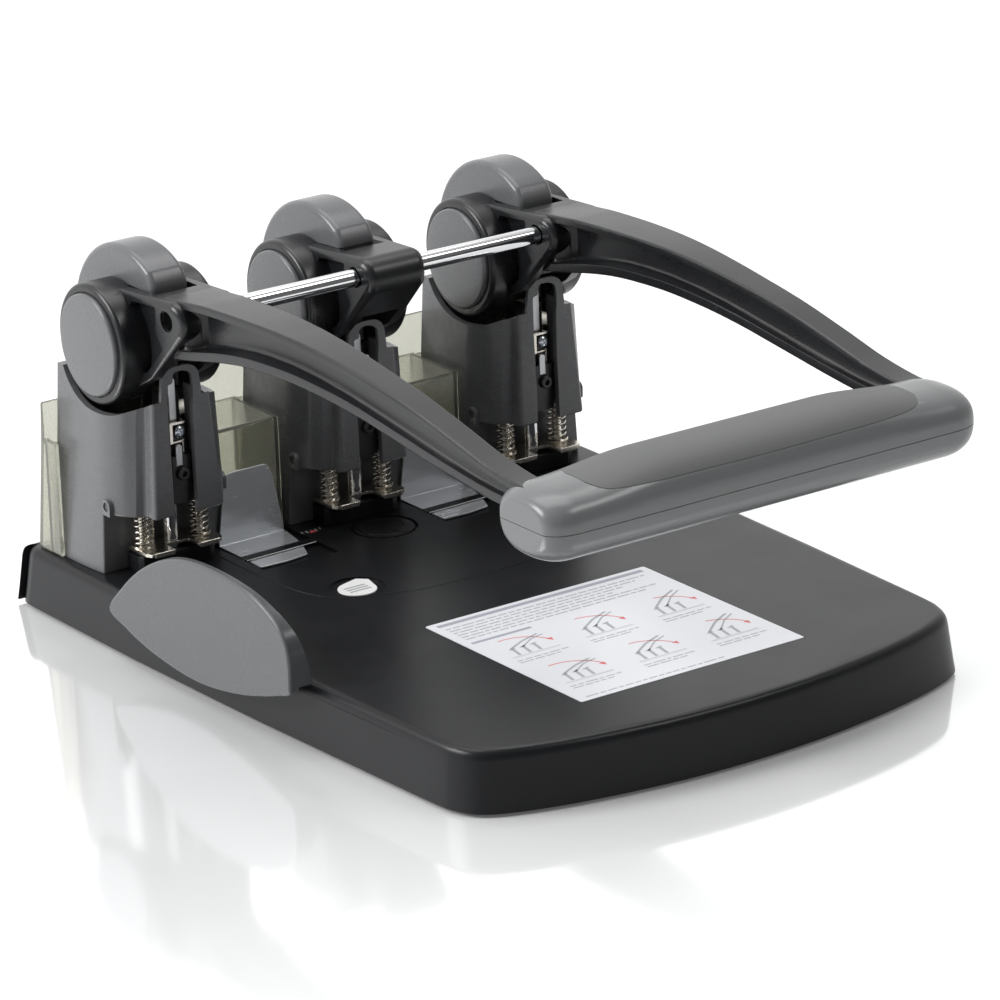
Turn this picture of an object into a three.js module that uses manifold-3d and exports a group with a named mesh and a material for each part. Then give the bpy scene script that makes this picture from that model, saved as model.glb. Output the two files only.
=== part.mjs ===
// Heavy-duty three-hole desk punch: three punch heads on a wide base, joined by one long handle.
// Millimetres, +Z up, +X along the row of heads, -Y towards the person who presses the handle.
import * as THREE from "three";
import { mergeVertices } from "three/addons/utils/BufferGeometryUtils.js";
import Module from "manifold-3d";

// ---------------------------------------------------------------- driving dimensions
const PITCH = 107.95; // hole spacing, 4.25 in
const HEADS = { left: -PITCH, centre: 0, right: PITCH };
const SHIFT = [0, 131.5, 0]; // moves the origin under the middle of the whole object
const BASE_TOP = 31;
const RIM = 1.6; // lower edge of the base cover
const PIVOT = { y: 20, z: 144.8 }; // lever axle
const NOSE = { y: -32, z: 166.3 }; // tie rod centre
const HUB_R = 30.2;
const HUB_IN = 11.3;
const HUB_OUT = 28.9;
const CHEEK_OUT = 17.6;
const CLEAR_R = 47; // inner face of each lever bridge, over the dome
const DOME_R = 46;
const DOME_HALF = 10.5;
const ROD_R = 4.5;
const AXLE_R = 5;
const PIN_R = 3.55; // 9/32 in hole
const PIN_Y = 3;
const SPRING_X = 16;
const PLATE_Z = 42;
const DIE_TOP = 40;
const ROOF_Z = 62; // underside of the head over the paper throat
const HANDLE = { y: -316, z: 141, w: 50, h: 38, half: 121 };
const PART_LINE = 139.4;

const wasm = await Module();
wasm.setup();

// ---------------------------------------------------------------- solids
function solid(geometry) {
  const g = geometry.index ? geometry.toNonIndexed() : geometry.clone();
  for (const name of Object.keys(g.attributes)) if (name !== "position") g.deleteAttribute(name);
  const m = mergeVertices(g, 1e-4);
  let tri = new Uint32Array(m.index.array);
  const build = (t) =>
    new wasm.Manifold(new wasm.Mesh({ numProp: 3, vertProperties: new Float32Array(m.attributes.position.array), triVerts: t }));
  let s = build(tri);
  if (s.volume() < 0) {
    tri = tri.slice();
    for (let i = 0; i < tri.length; i += 3) [tri[i + 1], tri[i + 2]] = [tri[i + 2], tri[i + 1]];
    s = build(tri);
  }
  return s;
}
function geometryOf(s) {
  const mesh = s.getMesh();
  const g = new THREE.BufferGeometry();
  const n = mesh.numProp, v = mesh.vertProperties, p = new Float32Array((v.length / n) * 3);
  for (let i = 0; i < p.length / 3; i++) for (let k = 0; k < 3; k++) p[3 * i + k] = v[n * i + k];
  g.setAttribute("position", new THREE.BufferAttribute(p, 3));
  g.setIndex(new THREE.BufferAttribute(new Uint32Array(mesh.triVerts), 1));
  g.computeVertexNormals();
  return g;
}
const add = (...s) => s.reduce((a, b) => a.add(b));
const cut = (a, ...s) => s.reduce((x, y) => x.subtract(y), a);

const BASES = {
  // shape x, shape y, extrusion: which world axes they run along
  z: [new THREE.Vector3(1, 0, 0), new THREE.Vector3(0, 1, 0), new THREE.Vector3(0, 0, 1)],
  x: [new THREE.Vector3(0, 1, 0), new THREE.Vector3(0, 0, 1), new THREE.Vector3(1, 0, 0)],
  y: [new THREE.Vector3(0, 0, 1), new THREE.Vector3(1, 0, 0), new THREE.Vector3(0, 1, 0)],
};
// A flat outline carried along one axis, from a to b. Along y the outline is given as (z, x).
function prism(axis, points, a, b, steps = 1, holes = []) {
  const shape = new THREE.Shape(points.map((p) => new THREE.Vector2(p[0], p[1])));
  for (const h of holes) shape.holes.push(new THREE.Path(h.map((p) => new THREE.Vector2(p[0], p[1]))));
  const g = new THREE.ExtrudeGeometry(shape, { depth: b - a, bevelEnabled: false, steps, curveSegments: 1 });
  g.translate(0, 0, a);
  g.applyMatrix4(new THREE.Matrix4().makeBasis(...BASES[axis]));
  return g;
}
function warp(g, f) {
  const p = g.getAttribute("position");
  for (let i = 0; i < p.count; i++) {
    const q = f(p.getX(i), p.getY(i), p.getZ(i));
    p.setXYZ(i, q[0], q[1], q[2]);
  }
  return g;
}
const box = (x0, x1, y0, y1, z0, z1) =>
  solid(new THREE.BoxGeometry(x1 - x0, y1 - y0, z1 - z0).translate((x0 + x1) / 2, (y0 + y1) / 2, (z0 + z1) / 2));
function arc(cx, cy, r, a0, a1, n) {
  const out = [];
  for (let i = 0; i <= n; i++) {
    const t = ((a0 + ((a1 - a0) * i) / n) * Math.PI) / 180;
    out.push([cx + r * Math.cos(t), cy + r * Math.sin(t)]);
  }
  return out;
}
const circle = (cx, cy, r, n) => arc(cx, cy, r, 0, 360 - 360 / n, n - 1);
const discX = (y, z, r, x0, x1, n = 32) => solid(prism("x", circle(y, z, r, n), x0, x1));
const discZ = (x, y, r, z0, z1, n = 24) => solid(prism("z", circle(x, y, r, n), z0, z1));
const discY = (x, z, r, y0, y1, n = 24) => solid(prism("y", circle(z, x, r, n), y0, y1));
// Smallest convex outline round a set of points, anticlockwise.
function hull(points) {
  const p = points.slice().sort((a, b) => a[0] - b[0] || a[1] - b[1]);
  const cross = (o, a, b) => (a[0] - o[0]) * (b[1] - o[1]) - (a[1] - o[1]) * (b[0] - o[0]);
  const half = (list) => {
    const h = [];
    for (const q of list) {
      while (h.length > 1 && cross(h[h.length - 2], h[h.length - 1], q) <= 1e-9) h.pop();
      h.push(q);
    }
    h.pop();
    return h;
  };
  return [...half(p), ...half(p.reverse())];
}
const lerpTable = (t, x) => {
  if (x <= t[0][0]) return t[0][1];
  for (let i = 1; i < t.length; i++)
    if (x <= t[i][0]) return t[i - 1][1] + ((t[i][1] - t[i - 1][1]) * (x - t[i - 1][0])) / (t[i][0] - t[i - 1][0]);
  return t[t.length - 1][1];
};

// ---------------------------------------------------------------- scene
const LOOKS = {
  black: { color: 0x1b1c1e, roughness: 0.55, metalness: 0 },
  grey: { color: 0x6f7173, roughness: 0.45, metalness: 0 },
  handle: { color: 0x7b7e81, roughness: 0.4, metalness: 0 },
  pad: { color: 0x6b6d69, roughness: 0.7, metalness: 0 },
  nickel: { color: 0xc9c2b4, roughness: 0.25, metalness: 1 },
  steel: { color: 0xb8bcc0, roughness: 0.3, metalness: 1 },
  chrome: { color: 0xe6e8ea, roughness: 0.08, metalness: 1 },
  darksteel: { color: 0x2a2b2d, roughness: 0.4, metalness: 0.7 },
  smoke: { color: 0x8a8b78, roughness: 0.15, metalness: 0 },
  rubber: { color: 0x111111, roughness: 0.9, metalness: 0 },
  paper: { color: 0xeeeef2, roughness: 0.6, metalness: 0 },
};
const punch = new THREE.Group();
const model = new THREE.Group();
model.position.set(...SHIFT);
punch.add(model);
function put(name, s, look, parent = model) {
  const mesh = new THREE.Mesh(s.isBufferGeometry ? s : geometryOf(s), new THREE.MeshStandardMaterial(LOOKS[look]));
  mesh.name = name;
  parent.add(mesh);
  return mesh;
}

// ---------------------------------------------------------------- base
const halfOutline = [
  [140, 78], [147.4, 77.2], [151.6, 74.2], [153.4, 69], [153.6, 60],
  [153.6, 20], [153.6, -30], [152.9, -80], [151.6, -130], [149.8, -180], [147.6, -230], [145.2, -275],
  [143.2, -288], [138.6, -297.5], [131, -303.5], [119, -308.8], [104, -313.6], [85, -318.2], [62, -322.3], [35, -325.6],
];
const outline = [[0, -327], ...halfOutline.slice().reverse(), ...halfOutline.map(([x, y]) => [-x, y])];
const MID = { y: -124.5, hx: 153.6, hy: 202.5 };
const inset = (d) => (x, y) => [x * (1 - d / MID.hx), MID.y + (y - MID.y) * (1 - d / MID.hy)];
function slab(levels) {
  // levels: [z, inset] from the bottom up
  const g = prism("z", outline, 0, levels.length - 1, levels.length - 1);
  return solid(
    warp(g, (x, y, z) => {
      const [h, d] = levels[Math.round(z)];
      const [px, py] = inset(d)(x, y);
      return [px, py, h];
    }),
  );
}
const TRAY = { y0: -13.5, y1: 37.5, z1: 26.6 };
const GUIDE_X = [-58.6, 49.35]; // middle of each depth stop
const DIAL = { y: -22, r: 15.6 };
const BADGE = { x: -58, y: -85, r: 13.6 };
const LABEL = { x: 64.2, y0: -278, y1: -151.6 };
{
  let base = slab([[RIM, 0], [26.5, 2.7], [29.8, 4.4], [BASE_TOP, 7]]);
  base = cut(base, slab([[-2, 3.2], [26, 6], [28, 8]]));
  // bosses that carry the towers and the front of the base
  for (const x of Object.values(HEADS)) base = cut(base, discZ(x, PIN_Y, 4.6, 27, 32));
  base = cut(
    base,
    discZ(0, DIAL.y, 17, 29.6, 32, 28),
    discZ(0, DIAL.y, 3.6, 27, 32, 16),
    discZ(BADGE.x, BADGE.y, BADGE.r, 30.1, 32, 20),
    box(-LABEL.x - 0.3, LABEL.x + 0.3, LABEL.y0 - 0.3, LABEL.y1 + 0.3, 30.6, 32),
    box(145, 160, TRAY.y0, TRAY.y1, 1, TRAY.z1), // chip drawer mouth
    box(-160, -145, -131, -69, 13.4, 20.6), // edge guide tongue
  );
  for (const x of GUIDE_X) base = cut(base, box(x - 21.5, x + 21.5, -37.6, 13.2, 29.3, 32));
  // walls under the deck that keep the drawer and the tongue straight
  base = add(
    base,
    box(-149, 146, TRAY.y1 + 0.6, TRAY.y1 + 2.6, 4, 28.5),
    box(-149, 146, TRAY.y0 - 2.6, TRAY.y0 - 0.6, 4, 28.5),
    box(-150, -100, -134, -131.4, 5, 28.5),
    box(-150, -100, -68.6, -66, 5, 28.5),
  );
  put("base_cover", base, "black");
}
{
  // floor plate inside the rim of the cover
  let plate = slab([[RIM, 4], [3.4, 4.2]]);
  plate = cut(plate, box(140, 160, TRAY.y0 - 2, TRAY.y1 + 2, 0, 6));
  put("base_floor_plate", plate, "black");
}
for (const [name, x, y] of [
  ["foot_front_left", -124, -283], ["foot_front_right", 124, -283],
  ["foot_back_left", -141, 65], ["foot_back_right", 141, 65],
]) put(name, discZ(x, y, 9, 0, 1.3, 18), "rubber");
put("instruction_label", box(-LABEL.x, LABEL.x, LABEL.y0, LABEL.y1, 30.85, 31.1), "paper");
{
  const pts = hull([...circle(BADGE.x - 1, BADGE.y - 1.5, 9.6, 16), [BADGE.x + 6, BADGE.y + 10.6], [BADGE.x + 10.5, BADGE.y + 6]]);
  put("capacity_badge", solid(prism("z", pts, 30.4, 31)), "paper");
}

// ---------------------------------------------------------------- heads
// Plan of the part of a head that overhangs the paper, at its lower edge.
const bodyPlan = (d) => [
  [20 - d, -16.6 + d], [20 - d, -8.6 + d * 0.8], [24.5 - d, -6.2 + d], [28.6 - d, -1 + d * 0.9], [31.8 - d, 6], [33.4 - d, 14], [33.9 - d, 30], [33.6 - d, 53 - d],
];
const mirrorX = (half) => [...half, ...half.slice().reverse().map(([x, y]) => [-x, y])];
const taper = (x, y, z) => {
  const t = (z - ROOF_Z) / 68;
  return [x * (1 - (y < -6 ? 0.2 : 0.1) * t), y < 0 ? y * (1 - 0.2 * t) : y, z];
};
const PHI = 24; // points round the pivot circles
function towerCover() {
  let s = solid(warp(prism("z", mirrorX(bodyPlan(0)), ROOF_Z, 131, 1), taper));
  // rim of the head: round the lever hubs, then up to the shoulder of the nose
  const rim = [[-20, 120.6], [-13.6, 119.9], [-10.5, 118.6], [-4, 115.7], [1, 113.5], [6, 112.5], [13, 112.1], [20, 112.1], [20, 140], [-20, 140]];
  s = cut(s, discX(PIVOT.y, PIVOT.z, 32.6, -40, 40, 32), solid(prism("x", rim, -40, 40)));
  // narrow top of the nose, with the slot's arch
  const noseTop = [[112, -11.8], [112, 11.8], [120, 11.5], [127, 10.9], [131.5, 10.2], [134.2, 8.4], [135.7, 5.8], [136.3, 2.6], [136.3, -2.6], [135.7, -5.8], [134.2, -8.4], [131.5, -10.2], [127, -10.9], [120, -11.5]];
  s = add(s, solid(prism("y", noseTop, -13.9, -11.8)));
  // inside
  const inner = mirrorX([[16.6, -13.4], [17, -5.4], [22.6, -2.6], [27, 5], [29.6, 14], [30, 49]]);
  s = cut(s, solid(warp(prism("z", inner, 50, 132, 1), taper)));
  // column down to the base, behind the paper throat
  const column = solid(warp(prism("z", mirrorX([[32.6, 10.3], [33.4, 14], [33.9, 30], [33.6, 53]]), BASE_TOP + 0.3, ROOF_Z + 4), taper));
  s = add(s, cut(column, box(-30, 30, 12.3, 49, 20, 80)));
  // ears under the side walls, and the opening down the front of the nose
  for (const side of [-1, 1]) {
    const ear = hull([...circle(7, 66.4, 3.6, 14), [3.6, 62], [10.4, 62]]);
    const out = [31.2 * side, 33.4 * side].sort((a, b) => a - b);
    s = cut(add(s, solid(prism("x", ear, ...out))), discX(7, 66.2, 2.3, 34.4 * Math.min(0, side) - 0.1, 34.4 * Math.max(0, side) + 0.1, 12));
  }
  const slot = [[40, -9.4], [61, -9.2], [80, -8.3], [117, -8], [126.6, -7.6], [128.4, -6.6], [129.2, -5.2], [129.4, -4.4], ...arc(128.2, 1.2, 5.4, -84, 90, 7), [114, 6.2], [90, 5.3], [40, 4.7]];
  s = cut(s, solid(prism("y", slot, -30, -2)), box(-8.9, 8.9, -10.6, 45, 100, 140));
  return s;
}
function dome() {
  const c = [PIVOT.y + 0.5, PIVOT.z + 0.4];
  const face = [[-9.8, 150.4], [-9.8, 174.2], [-8.7, 178.6], ...arc(c[0], c[1], DOME_R, 125.5, -12, 15), [60.5, 131.5], [46.6, 131.5]];
  const under = arc(PIVOT.y, PIVOT.z, 32.1, -27, -118, 8);
  let s = solid(prism("x", [...face, ...under, [5, 136.8], [5, 150.4]], -DOME_HALF, DOME_HALF));
  const inside = [[-7.8, 140], [-7.8, 173.4], ...arc(c[0], c[1], DOME_R - 2, 124.5, -10, 10), [48, 134], [44, 100], [3, 100], [3, 140]];
  s = cut(s, solid(prism("x", inside, -8.7, 8.7)), discX(PIVOT.y, PIVOT.z, AXLE_R + 0.4, -20, 20, 14));
  return s;
}
function frame() {
  // pressed steel bracket: two cheeks, back web, foot, and the shelf with both guide rods
  const cheek = hull([...circle(PIVOT.y, PIVOT.z, 11, 14), [14.4, 32], [44, 32], [43, 104], [13, 100]]);
  let s = add(
    solid(prism("x", cheek, 6.3, 8.3)), solid(prism("x", cheek, -8.3, -6.3)),
    box(-8.3, 8.3, 41, 43, 32, 100), box(-26, 26, 14, 44, BASE_TOP + 0.6, 34),
    box(-20, 20, -1.6, 18, 104.8, 107.4),
  );
  s = cut(s, box(-6, 6, -10, 40, 60, 130), discX(PIVOT.y, PIVOT.z, AXLE_R + 0.35, -20, 20, 14));
  for (const x of [-SPRING_X, SPRING_X]) s = add(s, discZ(x, PIN_Y, 2.4, DIE_TOP + 0.4, 105.5, 10));
  return s;
}
function dieBlock() {
  const plan = mirrorX([[17, -5], [20, -3.8], [21.4, -1], [21.4, 9.8]]);
  return cut(solid(prism("z", plan, BASE_TOP + 0.3, DIE_TOP)), discZ(0, PIN_Y, PIN_R + 0.35, 20, 60, 20));
}
function stripper() {
  const plan = [
    [-19.8, -12], [-6.5, -12], [-6.5, -3], [-4.6, -1.6], [4.6, -1.6], [6.5, -3], [6.5, -12], [19.8, -12],
    [21.6, -9], [21.9, -2], [21.9, 8.6], [-21.9, 8.6], [-21.9, -2], [-21.6, -9],
  ];
  let s = solid(prism("z", plan, PLATE_Z, PLATE_Z + 1.5));
  s = cut(s, discZ(0, PIN_Y, PIN_R + 0.4, 30, 60, 20));
  for (const x of [-SPRING_X, SPRING_X]) s = cut(s, discZ(x, PIN_Y, 2.8, 30, 60, 12));
  return s;
}
function ram() {
  // crosshead, driver block with its screws, and the steel link that runs up into the dome
  let s = add(
    box(-20.4, 20.4, -2.4, 9, 64, 70), box(-5.2, 5.2, -11, 9, 66, 90), box(-4.6, 4.6, -8.6, -2.4, 88, 107),
    box(-3.4, 3.4, -6.4, -2.4, 100, 125), box(-4.6, 4.6, -9.6, -8.2, 92, 106),
  );
  s = add(s, discY(0, 80.9, 3.4, -13.2, -10, 16), discY(0, 101.6, 3.3, -11.3, -9, 16));
  s = cut(s, discY(0, 80.9, 1.7, -14, -11, 6));
  for (const x of [-SPRING_X, SPRING_X]) s = cut(s, discZ(x, PIN_Y, 2.8, 60, 80, 12));
  return s;
}
const pin = () => add(discZ(0, PIN_Y, PIN_R, 36, 63.7, 20));
class Helix extends THREE.Curve {
  constructor(r, z0, z1, turns) { super(); Object.assign(this, { r, z0, z1, turns }); }
  getPoint(t, out = new THREE.Vector3()) {
    const a = t * this.turns * Math.PI * 2;
    return out.set(this.r * Math.cos(a), this.r * Math.sin(a), this.z0 + (this.z1 - this.z0) * t);
  }
}
function spring() {
  const wire = new THREE.Shape(circle(0, 0, 0.62, 4).map((p) => new THREE.Vector2(...p)));
  return new THREE.ExtrudeGeometry(wire, { extrudePath: new Helix(4.5, PLATE_Z + 2.4, 63.1, 5), steps: 40, bevelEnabled: false });
}
function axle() { return discX(PIVOT.y, PIVOT.z, AXLE_R, -26, 26, 14); }

for (const [side, x] of Object.entries(HEADS)) {
  const head = new THREE.Group();
  head.position.x = x;
  model.add(head);
  put(`tower_cover_${side}`, towerCover(), "grey", head);
  put(`dome_cover_${side}`, dome(), "grey", head);
  put(`head_frame_${side}`, frame(), "nickel", head);
  put(`die_block_${side}`, dieBlock(), "black", head);
  put(`pivot_axle_${side}`, axle(), "steel", head);
  put(`stripper_plate_${side}`, stripper(), "nickel", head);
  put(`ram_${side}`, ram(), "darksteel", head);
  put(`punch_pin_${side}`, pin(), "chrome", head);
  for (const [hand, sx] of [["a", -SPRING_X], ["b", SPRING_X]])
    put(`return_spring_${side}_${hand}`, spring(), "nickel", head).position.set(sx, PIN_Y, 0);
}

// ---------------------------------------------------------------- lever
const NOSE_SIDE = [[-46.4, 0.76], [-45.6, 0.85], [-44.2, 0.925], [-42.4, 0.975], [-40.4, 1], [60, 1]]; // share of the full width
function hubAndNose(noseHalf) {
  const cheekLine = hull([
    ...circle(PIVOT.y, PIVOT.z, 27.6, PHI), ...arc(-34.8, 165.6, 10.6, 80, 215, 8), [-36, 152.8], [-16.5, 133.6],
  ]);
  let s = add(
    discX(PIVOT.y, PIVOT.z, HUB_R, HUB_IN, HUB_OUT, 36), discX(PIVOT.y, PIVOT.z, HUB_R, -HUB_OUT, -HUB_IN, 36),
    solid(warp(prism("x", cheekLine, -3, 3, 6), (x, y, z) => {
      // the nose narrows towards its front corners
      const t = noseHalf * lerpTable(NOSE_SIDE, y);
      return [Math.sign(x) * Math.min([0, 7, 12.6, 40][Math.round(Math.abs(x))], t), y, z];
    })),
  );
  // the gap for the dome, the tower and the ram between the two cheeks
  const gap = discX(PIVOT.y, PIVOT.z, CLEAR_R, -HUB_IN, HUB_IN, 36);
  s = cut(s, gap, discX(PIVOT.y, PIVOT.z, AXLE_R + 0.35, -40, 40, 14));
  // seats for the round caps
  s = cut(s, discX(PIVOT.y, PIVOT.z, 25.6, 27.2, 40, 32), discX(PIVOT.y, PIVOT.z, 25.6, -40, -27.2, 32));
  // recess in each cheek between hub and nose
  const pocket = [[-2, 169.4], [-24, 171.6], [-20, 165], [-19.4, 158], [-26, 150.4], [-14, 138.4], [-6, 133.4]];
  for (const [a, b] of [[14, 40], [-40, -14]])
    s = cut(s, cut(solid(prism("x", pocket, a, b)), discX(PIVOT.y, PIVOT.z, 29, -50, 50, 36)));
  return s;
}
const ARM_TOP = [[-28, 176.2], [-45, 177.8], [-62, 179.2], [-95, 180.3], [-125, 180.2], [-152, 178.6], [-180, 175.6], [-216, 170.6], [-250, 163.8], [-276, 158], [-300, 154.6], [-317, 154]];
const ARM_LOW = [[-28, 146], [-38, 147.4], [-50, 149.6], [-72, 154], [-95, 157], [-125, 158], [-152, 156.8], [-180, 154.2], [-216, 149.4], [-250, 144.6], [-285, 141.2], [-317, 141]];
const ARM_HALF = [[-317, 6.8], [-250, 7], [-216, 7.4], [-180, 8.2], [-150, 9.3], [-100, 11.6], [-60, 12.6], [-28, 13.4]];
function armSolid(grow) {
  const top = ARM_TOP.map(([y, z]) => [y, z + grow]);
  const low = ARM_LOW.map(([y, z]) => [y, z - grow]);
  if (grow) { top[top.length - 1][0] -= grow; low[low.length - 1][0] -= grow; }
  const line = [...top, ...low.reverse()];
  return solid(warp(prism("x", line, -1, 1), (x, y, z) => [x * (lerpTable(ARM_HALF.map(([u, v]) => [u, v]), y) + grow), y, z]));
}
function armPocket(sign) {
  // space beside the web, under the top flange and over the bottom one
  const ys = [-47, -62, -95, -125, -152, -180, -216, -250, -276, -289];
  const top = ys.map((y) => [y, lerpTable(ARM_TOP.slice().reverse(), y) - 4]);
  const low = ys.map((y) => [y, lerpTable(ARM_LOW.slice().reverse(), y) + 5]);
  const line = [[-41, top[0][1] - 8], ...top, ...low.reverse(), [-41, low[low.length - 1][1] + 7]];
  const g = prism("x", line, 0, 1);
  return solid(warp(g, (t, y, z) => [sign * (t < 0.5 ? 3 : lerpTable(ARM_HALF, y) + 3), y, z]));
}
function sideArm() {
  let s = add(hubAndNose(CHEEK_OUT), cut(armSolid(0), discX(PIVOT.y, PIVOT.z, CLEAR_R, -40, 40, 36)));
  s = cut(s, armPocket(1), armPocket(-1), discX(NOSE.y, NOSE.z, ROD_R + 0.35, -60, 60, 14));
  return s;
}
function rocker() {
  let s = hubAndNose(CHEEK_OUT);
  return cut(s, discX(NOSE.y, NOSE.z, ROD_R + 0.35, -60, 60, 14));
}
function cap(sign) {
  const r = 25.2;
  const pts = [new THREE.Vector2(0, 0), new THREE.Vector2(r, 0), new THREE.Vector2(r, 2.2), new THREE.Vector2(r - 1.2, 3.2), new THREE.Vector2(0, 4.1)];
  const g = new THREE.LatheGeometry(pts, 32);
  // lathe axis +Y becomes +X or -X
  g.rotateZ(sign > 0 ? -Math.PI / 2 : Math.PI / 2);
  g.translate(sign * 27.6, PIVOT.y, PIVOT.z);
  return solid(g);
}
for (const [side, x] of Object.entries(HEADS)) {
  const part = new THREE.Group();
  part.position.x = x;
  model.add(part);
  put(side === "centre" ? "lever_rocker_centre" : `lever_arm_${side}`, side === "centre" ? rocker() : sideArm(), "black", part);
  put(`pivot_cap_${side}_a`, cap(-1), "grey", part);
  put(`pivot_cap_${side}_b`, cap(1), "grey", part);
}
put("tie_rod", discX(NOSE.y, NOSE.z, ROD_R, -PITCH - 15, PITCH + 15, 14), "chrome");

// ---------------------------------------------------------------- handle
function handleSolid(shrink) {
  const n = 24, e = 2.5, w = HANDLE.w / 2 - shrink, h = HANDLE.h / 2 - shrink, L = HANDLE.half - shrink;
  const section = [];
  for (let i = 0; i < n; i++) {
    const t = (i / n) * Math.PI * 2, c = Math.cos(t), s = Math.sin(t);
    section.push([w * Math.sign(c) * Math.abs(c) ** (2 / e), h * Math.sign(s) * Math.abs(s) ** (2 / e)]);
  }
  const xs = [-L, -L + 1.4, -L + 5, -L + 14, L - 14, L - 5, L - 1.4, L];
  const ks = [0.56, 0.74, 0.89, 1, 1, 0.89, 0.74, 0.56];
  return solid(
    warp(prism("x", section, 0, xs.length - 1, xs.length - 1), (t, y, z) => {
      const i = Math.round(t);
      return [xs[i], HANDLE.y + y * ks[i], HANDLE.z + z * ks[i]];
    }),
  );
}
{
  const outer = handleSolid(0), core = handleSolid(3);
  const W = HANDLE.half + 10, y0 = HANDLE.y - 40, y1 = HANDLE.y + 40;
  const above = (z) => box(-W, W, y0, y1, z, z + 60);
  const below = (z) => box(-W, W, y0, y1, z - 60, z);
  // the soft pad wraps the top of the bar between the arms
  const padRegion = (g) => {
    const half = [[-86 - g, y1], [-90.6 - g, HANDLE.y + 14], [-94 - g, HANDLE.y + 1], [-95.4 - g, HANDLE.y - 10], [-94 - g, HANDLE.y - 20 - g], [-89 - g, HANDLE.y - 28], [-82, HANDLE.y - 40]];
    const shape = solid(prism("z", [...half, ...half.slice().reverse().map(([x, y]) => [-x, y])], 100, 190));
    const seam = [[-100, 190], [-100, 158.6], [-93.4 - g, 158 - g], [-90 - g, 155 - g], [-84 - g, 153.6 - g], [-60, 152.7 - g], [0, 152.3 - g]];
    const front = [...seam, ...seam.slice(0, -1).reverse().map(([x, z]) => [-x, z])].map(([x, z]) => [z, x]);
    return shape.intersect(solid(prism("y", front, y0, y1)));
  };
  const holes = [HEADS.left, HEADS.right].map((x) => armSolid(0.4).translate([x, 0, 0]));
  const padSkin = (g) => cut(padRegion(g), core);
  let upper = cut(outer.intersect(above(PART_LINE + 0.15)), padSkin(0.3));
  let lower = outer.intersect(below(PART_LINE - 0.15));
  for (const h of holes) { upper = cut(upper, h); lower = cut(lower, h); }
  const pad = cut(handleSolid(0.12).intersect(padRegion(0)), handleSolid(2.2));
  put("handle_upper_shell", upper, "handle");
  put("handle_lower_shell", lower, "handle");
  put("handle_grip_pad", pad, "pad");
}

// ---------------------------------------------------------------- rear dust cover
{
  const band = (d) => [[53.7 + d, BASE_TOP + 0.3 - (d ? 5 : 0)], [66 - d, BASE_TOP + 0.3 - (d ? 5 : 0)], [58 - d, 89 - d], [56.4 - d * 0.4, 108.8 - 22 * (d ? 1 : 0)], [53.7 + d * 0.4, 108.8 - 22 * (d ? 1 : 0)]];
  let s = solid(prism("x", band(0), -146.4, 146.4));
  const towerHalf = 35.7;
  for (const a of [-PITCH, 0]) {
    const x0 = a + towerHalf, x1 = a + PITCH - towerHalf;
    s = add(s, box(x0, x1, 14.2, 54.5, BASE_TOP + 0.3, 88));
  }
  s = add(s, box(-146.4, -143.9, 44, 56, BASE_TOP + 0.3, 90), box(143.9, 146.4, 44, 56, BASE_TOP + 0.3, 90));
  s = cut(s, solid(prism("x", band(1.8), -144.4, 144.4)));
  for (const a of [-PITCH, 0]) {
    const x0 = a + towerHalf, x1 = a + PITCH - towerHalf;
    s = cut(s, box(x0 + 2, x1 - 2, 16.2, 56, 25, 86));
  }
  put("rear_dust_cover", s, "smoke");
}

// ---------------------------------------------------------------- depth dial and depth stops
{
  const r = DIAL.r;
  const knurl = [];
  for (let i = 0; i < 36; i++) {
    const t = (i / 36) * Math.PI * 2, q = i % 2 ? r : r - 0.7;
    knurl.push([q * Math.cos(t), DIAL.y + q * Math.sin(t)]);
  }
  let s = add(solid(prism("z", knurl, 29.9, 31.2)), discZ(0, DIAL.y, 13.2, 31.1, 31.7, 24), discZ(0, DIAL.y, 3.1, 27.4, 30, 16));
  s = cut(s, discZ(0, DIAL.y - 8.6, 2.2, 31.2, 33, 16));
  put("depth_dial", s, "black");
}
for (const [i, x] of GUIDE_X.entries()) {
  const tab = [[-19, 29.7], [-19, 33.5], [-14.4, 62], [-12.4, 65.8], [-9, 67.4], [8.6, 67.4], [11.4, 66], [13, 63], [19, 33], [19, 29.7]];
  const foot = [[-19, 9.2], [-19, -30], [-4, -30.6], [9, -28.6], [15, -14], [19, 5], [19, 9.2]];
  const s = add(
    solid(prism("y", tab.map(([a, b]) => [b, x + a]), 8, 9.2)),
    solid(prism("z", foot.map(([a, b]) => [x + a, b]), 29.7, 30.7)),
  );
  put(i ? "depth_stop_right" : "depth_stop_left", s, "steel");
}

// ---------------------------------------------------------------- edge guide and chip drawer
{
  const leaf = [[-20.5, 26], [-34, 41], [-50, 53.6], [-68, 63.4], [-86, 69.4], [-105, 72], [-128, 72.4], [-148, 70], [-163, 65.4], [-174, 59.4], [-179.4, 54], [-181, 43], [-180, 29], [-160, 22], [-140, 16.6], [-118, 12.6], [-98, 11], [-76, 12], [-54, 15], [-36, 19.6]];
  const g = prism("x", leaf, 0, 1);
  const thick = (z) => (z < 33 ? 13 : 13 - ((z - 33) / 40) * 9.6);
  let s = solid(warp(g, (t, y, z) => [-159.4 + t * thick(z), y, z]));
  s = cut(s, box(-154, -120, -200, 0, 0, BASE_TOP + 0.5));
  s = add(s, box(-155, -112, -130.4, -69.6, 14, 20));
  put("edge_guide", s, "grey");
}
{
  const y0 = TRAY.y0 + 0.5, y1 = TRAY.y1 - 0.5;
  let s = cut(box(-142, 148.4, y0, y1, 4, 26), box(-140.4, 145.4, y0 + 1.6, y1 - 1.6, 5.6, 40));
  s = add(s, box(147, 150.4, y0, y1, 4, 26), box(150, 159.4, 2, 22, 12, 15.5));
  put("chip_drawer", s, "black");
}

export default punch;
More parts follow.
